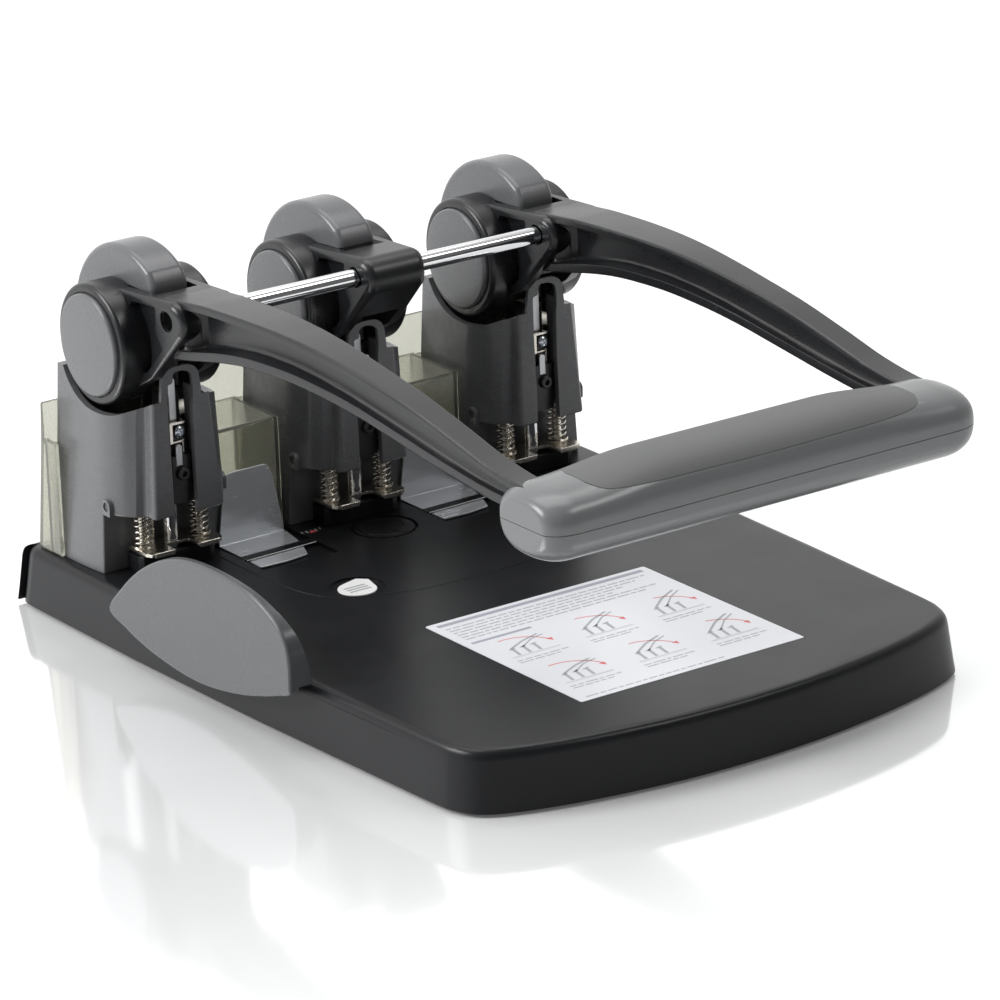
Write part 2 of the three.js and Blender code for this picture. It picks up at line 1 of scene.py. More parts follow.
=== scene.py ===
"""Looks of a heavy-duty three-hole punch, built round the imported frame."""
import math
import bpy
import bmesh
from mathutils import Vector, Matrix


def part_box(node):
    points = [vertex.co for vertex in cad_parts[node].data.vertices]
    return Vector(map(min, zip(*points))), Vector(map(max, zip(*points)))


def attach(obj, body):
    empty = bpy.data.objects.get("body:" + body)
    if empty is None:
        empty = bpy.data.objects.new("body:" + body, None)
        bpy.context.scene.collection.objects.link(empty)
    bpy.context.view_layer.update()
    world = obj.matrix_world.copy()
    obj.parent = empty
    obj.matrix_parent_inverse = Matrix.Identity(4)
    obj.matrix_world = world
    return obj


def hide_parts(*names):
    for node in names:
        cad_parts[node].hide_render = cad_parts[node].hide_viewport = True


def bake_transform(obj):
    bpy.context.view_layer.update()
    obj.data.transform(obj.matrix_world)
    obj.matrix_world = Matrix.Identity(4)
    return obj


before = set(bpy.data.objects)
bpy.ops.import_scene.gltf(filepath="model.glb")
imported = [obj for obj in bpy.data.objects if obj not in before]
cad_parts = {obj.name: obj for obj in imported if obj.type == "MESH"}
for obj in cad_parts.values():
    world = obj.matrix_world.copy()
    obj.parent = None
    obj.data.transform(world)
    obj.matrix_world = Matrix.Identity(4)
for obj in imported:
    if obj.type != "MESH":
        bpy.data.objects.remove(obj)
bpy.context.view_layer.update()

# ------------------------------------------------------------------ frame of the drawing
# Pieces are drawn in millimetres with x = 0 on the middle head and y, z as in the heads' own
# frame, then moved to the row frame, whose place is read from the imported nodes.
lo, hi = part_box("pivot_axle_centre")
PY, PZ = 20.0, 144.8
OY = (lo.y + hi.y) * 500 - PY
OZ = (lo.z + hi.z) * 500 - PZ
HEAD = {}
for side in ("left", "centre", "right"):
    lo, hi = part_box(f"pivot_axle_{side}")
    HEAD[side] = (lo.x + hi.x) * 500
PITCH = (HEAD["right"] - HEAD["left"]) / 2
TOWERHALF = 35.7
made = []


# ------------------------------------------------------------------ mesh tools
def obj_from(verts, faces, name="w"):
    me = bpy.data.meshes.new(name)
    me.from_pydata([tuple(v) for v in verts], [], faces)
    ob = bpy.data.objects.new(name, me)
    bpy.context.scene.collection.objects.link(ob)
    bm = bmesh.new()
    bm.from_mesh(me)
    bmesh.ops.recalc_face_normals(bm, faces=bm.faces)
    bm.to_mesh(me)
    bm.free()
    return ob


def drop(ob):
    me = ob.data
    bpy.data.objects.remove(ob, do_unlink=True)
    if isinstance(me, bpy.types.Mesh) and not me.users:
        bpy.data.meshes.remove(me)


def place(axis, u, v, t):
    return {"x": (t, u, v), "y": (u, t, v), "z": (u, v, t)}[axis]


def loft(rings, cap=True):
    n = len(rings[0])
    verts = [p for r in rings for p in r]
    faces = []
    for k in range(len(rings) - 1):
        for i in range(n):
            j = (i + 1) % n
            faces.append((k * n + i, k * n + j, (k + 1) * n + j, (k + 1) * n + i))
    if cap:
        faces.append(tuple(range(n))[::-1])
        faces.append(tuple((len(rings) - 1) * n + i for i in range(n)))
    return obj_from(verts, faces)


def prism(axis, pts, a, b, warp=None):
    rings = [[place(axis, u, v, t) for u, v in pts] for t in (a, b)]
    if warp:
        rings = [[warp(*p) for p in r] for r in rings]
    return loft(rings)


def prism_n(axis, pts, ts, warp):
    return loft([[warp(*place(axis, u, v, t)) for u, v in pts] for t in ts])


def box(x0, x1, y0, y1, z0, z1):
    return prism("z", [(x0, y0), (x1, y0), (x1, y1), (x0, y1)], z0, z1)


def arc(cx, cy, r, a0, a1, n):
    return [(cx + r * math.cos(math.radians(a0 + (a1 - a0) * i / n)), cy + r * math.sin(math.radians(a0 + (a1 - a0) * i / n))) for i in range(n + 1)]


def circle(cx, cy, r, n=64):
    return arc(cx, cy, r, 0, 360 - 360 / n, n - 1)


def disc(axis, c, r, a, b, n=64):
    return prism(axis, circle(c[0], c[1], r, n), a, b)


def lathe(axis, c, prof, n=72):
    """prof: (along, radius) from one end of the axis to the other, closed on the axis or as a ring."""
    closed = prof[0][1] > 1e-6
    rings = []
    for t, r in prof:
        rings.append([place(axis, c[0] + r * math.cos(2 * math.pi * i / n), c[1] + r * math.sin(2 * math.pi * i / n), t) for i in range(n)])
    if closed:
        m = len(rings)
        verts = [p for r in rings for p in r]
        faces = [(k * n + i, k * n + (i + 1) % n, ((k + 1) % m) * n + (i + 1) % n, ((k + 1) % m) * n + i) for k in range(m) for i in range(n)]
        return obj_from(verts, faces)
    inner = rings[1:-1]
    verts = [p for r in inner for p in r] + [place(axis, c[0], c[1], prof[0][0]), place(axis, c[0], c[1], prof[-1][0])]
    a, b = len(verts) - 2, len(verts) - 1
    faces = [(k * n + i, k * n + (i + 1) % n, (k + 1) * n + (i + 1) % n, (k + 1) * n + i) for k in range(len(inner) - 1) for i in range(n)]
    faces += [(a, (i + 1) % n, i) for i in range(n)]
    faces += [(b, (len(inner) - 1) * n + i, (len(inner) - 1) * n + (i + 1) % n) for i in range(n)]
    return obj_from(verts, faces)


def bake(ob):
    dg = bpy.context.evaluated_depsgraph_get()
    me = bpy.data.meshes.new_from_object(ob.evaluated_get(dg))
    old = ob.data
    ob.modifiers.clear()
    ob.data = me
    if not old.users:
        bpy.data.meshes.remove(old)
    return ob


def boolean(a, op, *others, solver="MANIFOLD"):
    for o in others:
        before = len(a.data.polygons)
        for s in (solver, "EXACT"):
            m = a.modifiers.new("b", "BOOLEAN")
            m.operation = op
            m.solver = s
            m.object = o
            dg = bpy.context.evaluated_depsgraph_get()
            me = bpy.data.meshes.new_from_object(a.evaluated_get(dg))
            a.modifiers.remove(m)
            if len(me.polygons) > 3:
                break
            bpy.data.meshes.remove(me)
        old = a.data
        a.data = me
        if not old.users:
            bpy.data.meshes.remove(old)
        drop(o)
    return a


def cut(a, *o):
    return boolean(a, "DIFFERENCE", *o)


def add(a, *o):
    return boolean(a, "UNION", *o)


def common(a, *o):
    return boolean(a, "INTERSECT", *o)


def copy(ob):
    c = ob.copy()
    c.data = ob.data.copy()
    bpy.context.scene.collection.objects.link(c)
    return c


def tidy(ob, angle=0.6):
    bm = bmesh.new()
    bm.from_mesh(ob.data)
    bmesh.ops.remove_doubles(bm, verts=bm.verts, dist=0.004)
    bmesh.ops.dissolve_degenerate(bm, edges=bm.edges, dist=0.003)
    bmesh.ops.dissolve_limit(bm, angle_limit=math.radians(angle), verts=bm.verts, edges=bm.edges)
    bm.to_mesh(ob.data)
    bm.free()
    return ob


def bevel(ob, width, segs=3, pred=None, angle=30):
    """Rounds the sharp edges whose middle passes the test."""
    tidy(ob)
    bm = bmesh.new()
    bm.from_mesh(ob.data)
    picked = []
    for e in bm.edges:
        if len(e.link_faces) != 2:
            continue
        if math.degrees(e.calc_face_angle(0.0)) < angle:
            continue
        mid = (e.verts[0].co + e.verts[1].co) / 2
        d = (e.verts[1].co - e.verts[0].co).normalized()
        if pred is None or pred(mid, d):
            picked.append(e)
    if picked:
        bmesh.ops.bevel(bm, geom=picked, offset=width, offset_type="OFFSET", segments=segs, profile=0.5, affect="EDGES", clamp_overlap=True, miter_outer="SHARP")
    bm.to_mesh(ob.data)
    bm.free()
    return ob


def soften(ob, width, segs=2, angle=32):
    """A fine round on every edge that is left sharp."""
    tidy(ob)
    m = ob.modifiers.new("edge", "BEVEL")
    m.limit_method = "ANGLE"
    m.angle_limit = math.radians(angle)
    m.width = width
    m.segments = segs
    m.use_clamp_overlap = True
    m.harden_normals = False
    return bake(ob)


def fillet(pts, radii, n=5):
    """Rounds the corners of an outline; radii is one number or {index: radius}."""
    out = []
    m = len(pts)
    for i, p in enumerate(pts):
        r = radii.get(i, 0) if isinstance(radii, dict) else radii
        if r <= 0:
            out.append(p)
            continue
        p = Vector(p)
        a, b = Vector(pts[i - 1]), Vector(pts[(i + 1) % m])
        u, v = (a - p), (b - p)
        lu, lv = u.length, v.length
        u.normalize()
        v.normalize()
        cos = max(-1, min(1, u.dot(v)))
        ang = math.acos(cos)
        if ang > math.radians(176):
            out.append(tuple(p))
            continue
        t = min(r / math.tan(ang / 2), lu * 0.48, lv * 0.48)
        s, e = p + u * t, p + v * t
        for k in range(n + 1):
            w = k / n
            q = s * (1 - w) ** 2 + p * 2 * w * (1 - w) + e * w * w
            out.append(tuple(q))
    return out


def spline(pts, n=6, closed=True):
    """A smooth curve through the points."""
    out = []
    m = len(pts)
    rng = range(m) if closed else range(m - 1)
    for i in rng:
        p0 = Vector(pts[(i - 1) % m] if closed or i > 0 else pts[0])
        p1 = Vector(pts[i])
        p2 = Vector(pts[(i + 1) % m])
        p3 = Vector(pts[(i + 2) % m] if closed or i + 2 < m else pts[m - 1])
        for k in range(n):
            t = k / n
            out.append(tuple(0.5 * ((2 * p1) + (p2 - p0) * t + (2 * p0 - 5 * p1 + 4 * p2 - p3) * t * t + (3 * p1 - p0 - 3 * p2 + p3) * t ** 3)))
    if not closed:
        out.append(tuple(pts[-1]))
    return out


def mirror(half):
    return list(half) + [(-x, y) for x, y in reversed(half) if abs(x) > 1e-9]


def hull(points):
    p = sorted(set((round(a, 5), round(b, 5)) for a, b in points))

    def side(seq):
        h = []
        for q in seq:
            while len(h) > 1 and (h[-1][0] - h[-2][0]) * (q[1] - h[-2][1]) - (h[-1][1] - h[-2][1]) * (q[0] - h[-2][0]) <= 1e-9:
                h.pop()
            h.append(q)
        return h[:-1]
    return side(p) + side(p[::-1])


def smooth(a, b, x):
    t = max(0.0, min(1.0, (x - a) / (b - a)))
    return t * t * (3 - 2 * t)


def table(t, x):
    if x <= t[0][0]:
        return t[0][1]
    for (a, p), (b, q) in zip(t, t[1:]):
        if x <= b:
            return p + (q - p) * (x - a) / (b - a)
    return t[-1][1]


def tube(points, r, sides=10, closed=False):
    """A round bar along a path, with parallel-carried sections."""
    P = [Vector(p) for p in points]
    T = []
    for i in range(len(P)):
        a = P[max(0, i - 1)]
        b = P[min(len(P) - 1, i + 1)]
        T.append((b - a).normalized())
    ref = Vector((0, 0, 1)) if abs(T[0].z) < 0.9 else Vector((1, 0, 0))
    n = (ref - T[0] * ref.dot(T[0])).normalized()
    rings = []
    for p, t in zip(P, T):
        n = (n - t * n.dot(t)).normalized()
        b = t.cross(n)
        rings.append([tuple(p + (n * math.cos(2 * math.pi * k / sides) + b * math.sin(2 * math.pi * k / sides)) * r) for k in range(sides)])
    return loft(rings)


# ------------------------------------------------------------------ materials
def material(name, color, rough, metal=0.0, grain=0.0, grain_mm=0.35, blotch=0.05, rough_var=0.06, stretch=None, spec=0.5, coat=0.0, coat_rough=0.1,
             transmission=0.0, ior=None, alpha=1.0, scratches=0.0, tint=None):
    m = bpy.data.materials.new(name)
    m.use_nodes = True
    nt = m.node_tree
    b = nt.nodes["Principled BSDF"]
    N, L = nt.nodes.new, nt.links.new
    tc = N("ShaderNodeTexCoord")
    mp = N("ShaderNodeMapping")
    mp.inputs["Scale"].default_value = stretch or (1, 1, 1)
    L(tc.outputs["Object"], mp.inputs["Vector"])
    # broad mottling of colour and gloss
    big = N("ShaderNodeTexNoise")
    big.inputs["Scale"].default_value = 38
    big.inputs["Detail"].default_value = 3
    L(tc.outputs["Object"], big.inputs["Vector"])
    fine = N("ShaderNodeTexNoise")
    fine.inputs["Scale"].default_value = 1000 / grain_mm * 0.55
    fine.inputs["Detail"].default_value = 2
    fine.inputs["Roughness"].default_value = 0.6
    L(mp.outputs["Vector"], fine.inputs["Vector"])
    mix = N("ShaderNodeMix")
    mix.data_type = "RGBA"
    mix.inputs[6].default_value = (*[c * (1 - blotch) for c in color], 1)
    mix.inputs[7].default_value = (*[min(1, c * (1 + blotch)) for c in (tint or color)], 1)
    blend = N("ShaderNodeMath")
    blend.operation = "MULTIPLY_ADD"
    blend.inputs[1].default_value = 0.45
    L(fine.outputs["Fac"], blend.inputs[0])
    half = N("ShaderNodeMath")
    half.operation = "MULTIPLY"
    half.inputs[1].default_value = 0.55
    L(big.outputs["Fac"], half.inputs[0])
    L(half.outputs[0], blend.inputs[2])
    L(blend.outputs[0], mix.inputs[0])
    L(mix.outputs[2], b.inputs["Base Color"])
    rr = N("ShaderNodeMapRange")
    rr.inputs["From Min"].default_value = 0.3
    rr.inputs["From Max"].default_value = 0.7
    rr.inputs["To Min"].default_value = max(0.02, rough - rough_var)
    rr.inputs["To Max"].default_value = min(1, rough + rough_var)
    L(blend.outputs[0], rr.inputs["Value"])
    L(rr.outputs["Result"], b.inputs["Roughness"])
    if grain > 0:
        bump = N("ShaderNodeBump")
        bump.inputs["Strength"].default_value = grain
        bump.inputs["Distance"].default_value = grain_mm * 0.00012
        L(fine.outputs["Fac"], bump.inputs["Height"])
        L(bump.outputs["Normal"], b.inputs["Normal"])
    b.inputs["Metallic"].default_value = metal
    b.inputs["Specular IOR Level"].default_value = spec
    if coat:
        b.inputs["Coat Weight"].default_value = coat
        b.inputs["Coat Roughness"].default_value = coat_rough
    if transmission:
        b.inputs["Transmission Weight"].default_value = transmission
    if ior:
        b.inputs["IOR"].default_value = ior
    if alpha < 1:
        b.inputs["Alpha"].default_value = alpha
    m.diffuse_color = (*color, 1)
    return m


M = {
    "base": material("base_black_moulding", (0.010, 0.0105, 0.0118), 0.32, grain=0.5, grain_mm=0.45, blotch=0.22, rough_var=0.05, spec=0.28),
    "cast": material("lever_black_paint", (0.009, 0.0095, 0.0108), 0.30, grain=0.4, grain_mm=0.5, blotch=0.18, rough_var=0.05, spec=0.5),
    "grey": material("head_grey_moulding", (0.118, 0.120, 0.124), 0.27, grain=0.12, grain_mm=0.25, blotch=0.04, rough_var=0.04),
    "guide": material("guide_grey_moulding", (0.086, 0.089, 0.093), 0.26, grain=0.12, grain_mm=0.25, blotch=0.03, rough_var=0.04),
    "handle": material("handle_grey_moulding", (0.152, 0.156, 0.158), 0.24, grain=0.10, grain_mm=0.25, blotch=0.03, rough_var=0.04),
    "pad": material("grip_pad_rubber", (0.112, 0.114, 0.113), 0.55, grain=0.5, grain_mm=0.3, blotch=0.06, rough_var=0.05, spec=0.35),
    "nickel": material("nickel_plate", (0.80, 0.75, 0.66), 0.20, metal=1, grain=0.06, grain_mm=0.4, blotch=0.08, rough_var=0.07, tint=(0.86, 0.82, 0.74)),
    "spring": material("spring_nickel", (0.78, 0.74, 0.67), 0.18, metal=1, grain=0.05, grain_mm=0.3, blotch=0.08, rough_var=0.06),
    "zinc": material("zinc_bright", (0.66, 0.71, 0.76), 0.22, metal=1, grain=0.12, grain_mm=0.5, blotch=0.12, rough_var=0.08),
    "galv": material("galvanised_sheet", (0.80, 0.82, 0.85), 0.24, metal=0.6, grain=0.05, grain_mm=0.8, blotch=0.08, rough_var=0.06, stretch=(0.12, 1, 1)),
    "chrome": material("chrome_rod", (0.90, 0.905, 0.915), 0.05, metal=1, grain=0.015, grain_mm=0.3, blotch=0.02, rough_var=0.02, stretch=(0.05, 1, 1)),
    "steel": material("link_steel", (0.62, 0.63, 0.64), 0.34, metal=1, grain=0.18, grain_mm=0.4, blotch=0.12, rough_var=0.08, stretch=(1, 1, 0.15)),
    "dark": material("blackened_steel", (0.020, 0.020, 0.021), 0.32, grain=0.15, grain_mm=0.4, blotch=0.2, rough_var=0.06, spec=0.6),
    "smoke": material("smoked_cover", (0.66, 0.66, 0.57), 0.12, grain=0.02, grain_mm=0.6, blotch=0.02, rough_var=0.03, transmission=0.86, ior=1.46, tint=(0.70, 0.70, 0.62)),
    "rubber": material("foot_rubber", (0.018, 0.018, 0.018), 0.8, grain=0.3, grain_mm=0.4, blotch=0.15),
    "paper": material("label_film", (0.66, 0.67, 0.70), 0.38, grain=0.03, grain_mm=0.3, blotch=0.015, rough_var=0.03, coat=0.2),
    "inkgrey": material("label_ink_grey", (0.33, 0.34, 0.36), 0.45, grain=0.03, blotch=0.05),
    "inkpale": material("label_ink_pale", (0.52, 0.53, 0.56), 0.45, grain=0.03, blotch=0.05),
    "inkred": material("label_ink_red", (0.62, 0.10, 0.10), 0.45, grain=0.03, blotch=0.05),
    "inkblue": material("label_band_grey", (0.30, 0.31, 0.36), 0.45, grain=0.03, blotch=0.05),
    "white": material("badge_white", (0.82, 0.82, 0.81), 0.30, grain=0.03, blotch=0.02, coat=0.3),
}


# ------------------------------------------------------------------ finishing a piece
def piece(ob, name, body, slot, mat, stands_for=(), dx=0.0, smooth_deg=38, weighted=True):
    ob.data.transform(Matrix.Diagonal((0.001, 0.001, 0.001, 1)) @ Matrix.Translation((dx, OY, OZ)))
    ob.name = name
    ob.data.name = name
    ob.data.materials.clear()
    for k in (mat if isinstance(mat, (list, tuple)) else [mat]):
        ob.data.materials.append(M[k])
    ob.data.shade_smooth()
    ob.data.set_sharp_from_angle(angle=math.radians(smooth_deg))
    if weighted:
        w = ob.modifiers.new("normals", "WEIGHTED_NORMAL")
        w.keep_sharp = True
        w.weight = 60
    if body:
        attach(ob, body)
    if stands_for:
        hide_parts(*stands_for)
    made.append(ob)
    return ob


def each_head(build, name, node, body, slot, mat, **kw):
    """One master mesh, one piece on each head."""
    master = build()
    for s, x in HEAD.items():
        c = copy(master)
        piece(c, f"{name}_{s}", body.format(s), slot, mat, [node.format(s)] if node else [], dx=x, **kw)
    drop(master)


# ------------------------------------------------------------------ base
HALF = [(140, 78), (147.4, 77.2), (151.6, 74.2), (153.4, 69), (153.6, 60), (153.6, 20), (153.6, -30), (152.9, -80), (151.6, -130), (149.8, -180),
        (147.6, -230), (145.2, -275), (143.2, -288), (138.6, -297.5), (131, -303.5), (119, -308.8), (104, -313.6), (85, -318.2), (62, -322.3), (35, -325.6)]
OUTLINE = spline([(0, -327)] + HALF[::-1] + [(-x, y) for x, y in HALF], 4)
OUTLINE = [(max(-153.6, min(153.6, x)), max(-327, min(78, y))) for x, y in OUTLINE]


def base_ring(z, d):
    my, hx, hy = -124.5, 153.6, 202.5
    return [(x * (1 - d / hx), my + (y - my) * (1 - d / hy), z) for x, y in OUTLINE]


def slab(levels):
    return loft([base_ring(z, d) for z, d in levels])


TRAY = (-13.5, 37.5, 26.6)
GUIDES = (-58.6, 49.35)


def build_base():
    b = slab([(1.6, 0.25), (1.9, 0), (8, 0.75), (16, 1.6), (22, 2.25), (25.6, 2.65), (27.4, 3.0), (28.5, 3.35), (29.4, 3.85), (30.15, 4.55), (30.65, 5.4), (30.92, 6.3), (31, 7.3)])
    # the slightly raised field round the dial, with its curved front edge
    edge = spline([(-86, -44), (-83, -73), (-73, -92), (-45, -105.5), (-21, -109.4), (0, -110), (21, -109.4), (45, -105.5), (73, -92), (83, -73), (86, -44)], 8, False)
    field = prism("z", [(-86, -6)] + edge + [(86, -6)], 30.5, 31.28)
    b = add(b, bevel(field, 0.26, 2, lambda m, d: m.z > 31.2))
    b = cut(b, slab([(-2, 3.2), (26, 6), (28, 8)]))
    for x in HEAD.values():
        b = cut(b, disc("z", (x, 3), 4.6, 27, 33, 32))
    b = cut(
        b,
        disc("z", (0, -22), 17, 29.6, 33, 96),
        disc("z", (0, -22), 3.6, 27, 33, 32),
        disc("z", (-58, -85), 13.6, 30.1, 33, 64),
        prism("z", fillet([(-64.5, -278.3), (64.5, -278.3), (64.5, -151.3), (-64.5, -151.3)], 1.2), 30.6, 33),
        box(145, 160, TRAY[0], TRAY[1], 1, TRAY[2]),
        box(-160, -145, -131, -69, 13.4, 20.6),
    )
    for x in GUIDES:
        b = cut(b, prism("z", fillet([(x - 21.5, -37.6), (x + 21.5, -37.6), (x + 21.5, 13.2), (x - 21.5, 13.2)], 1.5), 29.3, 33))
    b = soften(b, 0.32, 2, 40)
    return b


piece(build_base(), "base_cover_look", "base", "black_moulding", "base", ["base_cover"])


# label and badge
def build_label():
    return bevel(prism("z", fillet([(-64.2, -278), (64.2, -278), (64.2, -151.6), (-64.2, -151.6)], 1.2), 30.7, 31.1), 0.05, 1)


piece(build_label(), "label_film_look", "base", "label", "paper", ["instruction_label"])


def strips(quads, z=31.11, t=0.035):
    """Thin printed shapes: closed plates, one for each outline."""
    verts, faces = [], []
    for q in quads:
        n, o = len(q), len(verts)
        verts += [(x, y, z) for x, y in q] + [(x, y, z + t) for x, y in q]
        faces += [tuple(o + i for i in range(n))[::-1], tuple(o + n + i for i in range(n))]
        faces += [(o + i, o + (i + 1) % n, o + n + (i + 1) % n, o + n + i) for i in range(n)]
    return obj_from(verts, faces)


def bar(x0, y0, x1, y1):
    return [(x0, y0), (x1, y0), (x1, y1), (x0, y1)]


def stroke(pts, w):
    """A drawn line of width w as one outline."""
    P = [Vector(p) for p in pts]
    left, right = [], []
    for i, p in enumerate(P):
        t = (P[min(i + 1, len(P) - 1)] - P[max(i - 1, 0)]).normalized()
        n = Vector((-t.y, t.x)) * w / 2
        left.append(tuple(p + n))
        right.append(tuple(p - n))
    return left + right[::-1]


def words(x0, x1, y, h, seed):
    """A row of short bars of uneven length, as a stand-in for print."""
    out, x, k = [], x0, seed
    while x < x1 - 1:
        k = (k * 1103515245 + 12345) % 2147483648
        w = 2.2 + (k % 1000) / 1000 * 5.2
        w = min(w, x1 - x)
        out.append(bar(x, y, x + w, y + h))
        x += w + 1.1
    return out


grey, pale, red, band = [], [], [], []
band.append(bar(-60, -157.6, 60, -154.6))
for i in range(6):
    grey += words(-59, 57 - (i * 37) % 29, -162.2 - i * 3.3, 1.0, 7 + i * 13)
band.append(bar(-60, -185.4, -26, -183.2))
for i, (cx, cy) in enumerate([(-42, -201), (0, -201), (42, -201), (-42, -243), (0, -243), (42, -243)]):
    # a small side view of the punch, with an arc for the handle's way
    pale.append(bar(cx - 14, cy - 12, cx + 13, cy - 10.6))
    for k in range(3):
        grey.append(stroke([(cx - 9 + k * 6, cy - 10), (cx - 7.6 + k * 6, cy - 2)], 1.6))
        grey.append(stroke([(cx - 9.5 + k * 6, cy - 2), (cx - 6 + k * 6, cy - 1)], 1.1))
    up = 8 + (i % 3) * 3
    grey.append(stroke([(cx - 8, cy - 1), (cx + 2, cy + up * 0.55), (cx + 13, cy + up)], 1.3))
    grey.append(stroke([(cx - 2, cy - 2), (cx + 7, cy + up * 0.5), (cx + 15, cy + up - 2)], 0.9))
    red.append(stroke(arc(cx - 4, cy - 8, 19 + i % 2, 100 - 10 * (i % 3), 22, 14), 0.7))
    red.append([(cx + 12.4, cy - 0.6), (cx + 15.6, cy - 0.2), (cx + 14.6, cy - 4.0)])
    grey += words(cx - 15, cx + 14, cy - 16.6, 0.8, 31 + i * 7)
    grey += words(cx - 15, cx + 8, cy - 19.2, 0.8, 51 + i * 7)
grey += words(-59, 20, -274.5, 0.9, 77)
for nm, q, mt in (("grey", grey, "inkgrey"), ("pale", pale, "inkpale"), ("red", red, "inkred"), ("band", band, "inkblue")):
    piece(strips(q), f"label_print_{nm}", "base", "label", mt, weighted=False)

badge = hull(circle(-59, -86.5, 9.6, 64) + [(-52, -74.4), (-47.5, -79)])
piece(bevel(prism("z", fillet(badge, 0.0), 30.35, 31.0), 0.3, 2, lambda m, d: m.z > 30.9), "badge_look", "base", "badge", "white", ["capacity_badge"])
piece(strips([bar(-65, -84.6, -53, -83.2), bar(-65, -87.4, -53, -86.0), bar(-65, -90.2, -53, -88.8)], 31.005, 0.03), "badge_print", "base", "badge", "inkgrey", weighted=False)


# ------------------------------------------------------------------ heads
def k_taper(y):
    return 0.1 + 0.1 * smooth(-1.0, -8.0, y) + 0.045 * smooth(10.0, 34.0, y)


def taper(x, y, z):
    t = (z - 62) / 68
    return (x * (1 - k_taper(y) * t), y * (1 - 0.2 * t) if y < 0 else y, z)


SIDE = spline([(24.4, -6.6), (28.6, -1.6), (31.8, 5), (33.4, 13), (33.9, 30), (33.6, 53)], 6, False)
PLAN_HALF = [(17.6, -16.6), (18.7, -16.35), (19.5, -15.7), (19.9, -14.8), (20, -13.6), (20, -9.9), (20.2, -9.0), (20.8, -8.2), (21.8, -7.6)] + SIDE


def build_tower():
    s = prism_n("z", mirror(PLAN_HALF), [62, 80, 100, 131], taper)
    s = bevel(s, 1.1, 3, lambda m, d: abs(m.z - 62) < 0.3, 35)
    rim = spline([(-20, 120.7), (-13.6, 119.9), (-10.5, 118.6), (-4, 115.7), (1, 113.5), (6, 112.5), (13, 112.1), (20, 112.1)], 5, False)
    s = cut(s, disc("x", (PY, PZ), 32.6, -40, 40, 128), prism("x", rim + [(20, 140), (-20, 140)], -40, 40))
    half = spline([(112, 11.8), (120, 11.5), (127, 10.9), (131.5, 10.2), (134.2, 8.4), (135.7, 5.8), (136.3, 2.6)], 4, False)
    top = [(x, z) for z, x in half] + [(-x, z) for z, x in reversed(half)]
    s = add(s, prism("y", top, -13.9, -11.8))
    # open from the roof of the throat up to the lever
    inner = mirror([(16.6, -13.4), (17, -5.4), (22.6, -2.6), (27, 5), (29.6, 14), (30, 49)])
    s = cut(s, prism_n("z", inner, [50, 132], taper))
    # column down to the base, closed towards the paper
    back = [(x, y) for x, y in SIDE if y > 10.3]
    front_x = table([(p[1], p[0]) for p in SIDE], 10.3)
    col = prism_n("z", mirror([(front_x, 10.3)] + back), [31.3, 50, 66], taper)
    col = bevel(col, 0.9, 3, lambda m, d: m.z < 61 and abs(d.z) > 0.8 and m.y < 12, 35)
    s = add(s, cut(col, box(-30, 30, 12.3, 49, 20, 80)))
    right = spline([(62, 4.7), (90, 5.1), (114, 6.1), (121.5, 6.7), (129.3, 6.5), (132.2, 5), (133.7, 1.3)], 5, False)
    left = spline([(133.7, -2.6), (132.2, -4.1), (128.6, -4.7), (127.6, -7.2), (125.6, -7.8), (117, -8.1), (79, -8.4), (62, -9.2)], 5, False)
    slot = [(x, z) for z, x in [(40, 4.7)] + right + left + [(40, -9.2)]]
    s = cut(s, prism("y", slot, -30, -2), box(-8.9, 8.9, -10.6, 45, 100, 140))
    s = cut(s, box(-60, 60, 20, 70, 127.8, 140))
    # walls of the channel behind the slot
    s = add(s, box(7.5, 8.7, -13.9, -3.6, 72, 124), box(-11.2, -10, -13.9, -3.6, 72, 112))
    s = soften(s, 0.5, 3, 33)
    return s


each_head(build_tower, "tower_look", "tower_cover_{}", "base", "grey_moulding", "grey")


def build_lug():
    """Small ear with a screw hole at the lower edge of each head."""
    o = hull(circle(7, 66.4, 3.6, 32) + [(3.6, 61.7), (10.4, 61.7)])
    e = None
    for sg in (-1, 1):
        x0, x1 = sorted((sg * 31.3, sg * 33.6))
        p = cut(prism("x", o, x0, x1), disc("x", (7, 66.2), 2.3, -36, 36, 32))
        e = p if e is None else add(e, p)
    return bevel(e, 0.3, 2)


each_head(build_lug, "tower_ear_look", None, "base", "grey_moulding", "grey")


def build_dome():
    cy, cz = PY + 0.5, PZ + 0.4
    face = [(-9.8, 150.4), (-9.8, 174.2), (-9.5, 176.4), (-8.7, 178.6)] + arc(cy, cz, 45.85, 125.5, -12, 60) + [(60.3, 131.5), (46.6, 131.5)]
    under = arc(PY, PZ, 32.1, -27, -118, 30)
    s = prism("x", face + [(46.6, 120), (5, 120), (5, 150.4)], -10.5, 10.5)
    s = bevel(s, 3.2, 6, lambda m, d: (abs(abs(m.x) - 10.5) < 0.01 and (m.z > 152 or m.y > 50) and m.z > 133), 40)
    # the underside follows the hollow in the head
    big = prism("x", [(-30, 150.4), (-30, 210), (90, 210), (90, 131.5), (46.6, 131.5)] + under + [(5, 136.8), (5, 150.4)], -14, 14)
    s = common(s, big)
    inside = [(-7.8, 140), (-7.8, 173.4)] + arc(cy, cz, 44, 124.5, -10, 40) + [(48, 134), (44, 100), (3, 100), (3, 140)]
    s = cut(s, prism("x", inside, -8.7, 8.7), disc("x", (PY, PZ), 5.4, -20, 20, 40))
    return soften(s, 0.25, 2, 35)


each_head(build_dome, "dome_look", "dome_cover_{}", "base", "grey_moulding", "grey")


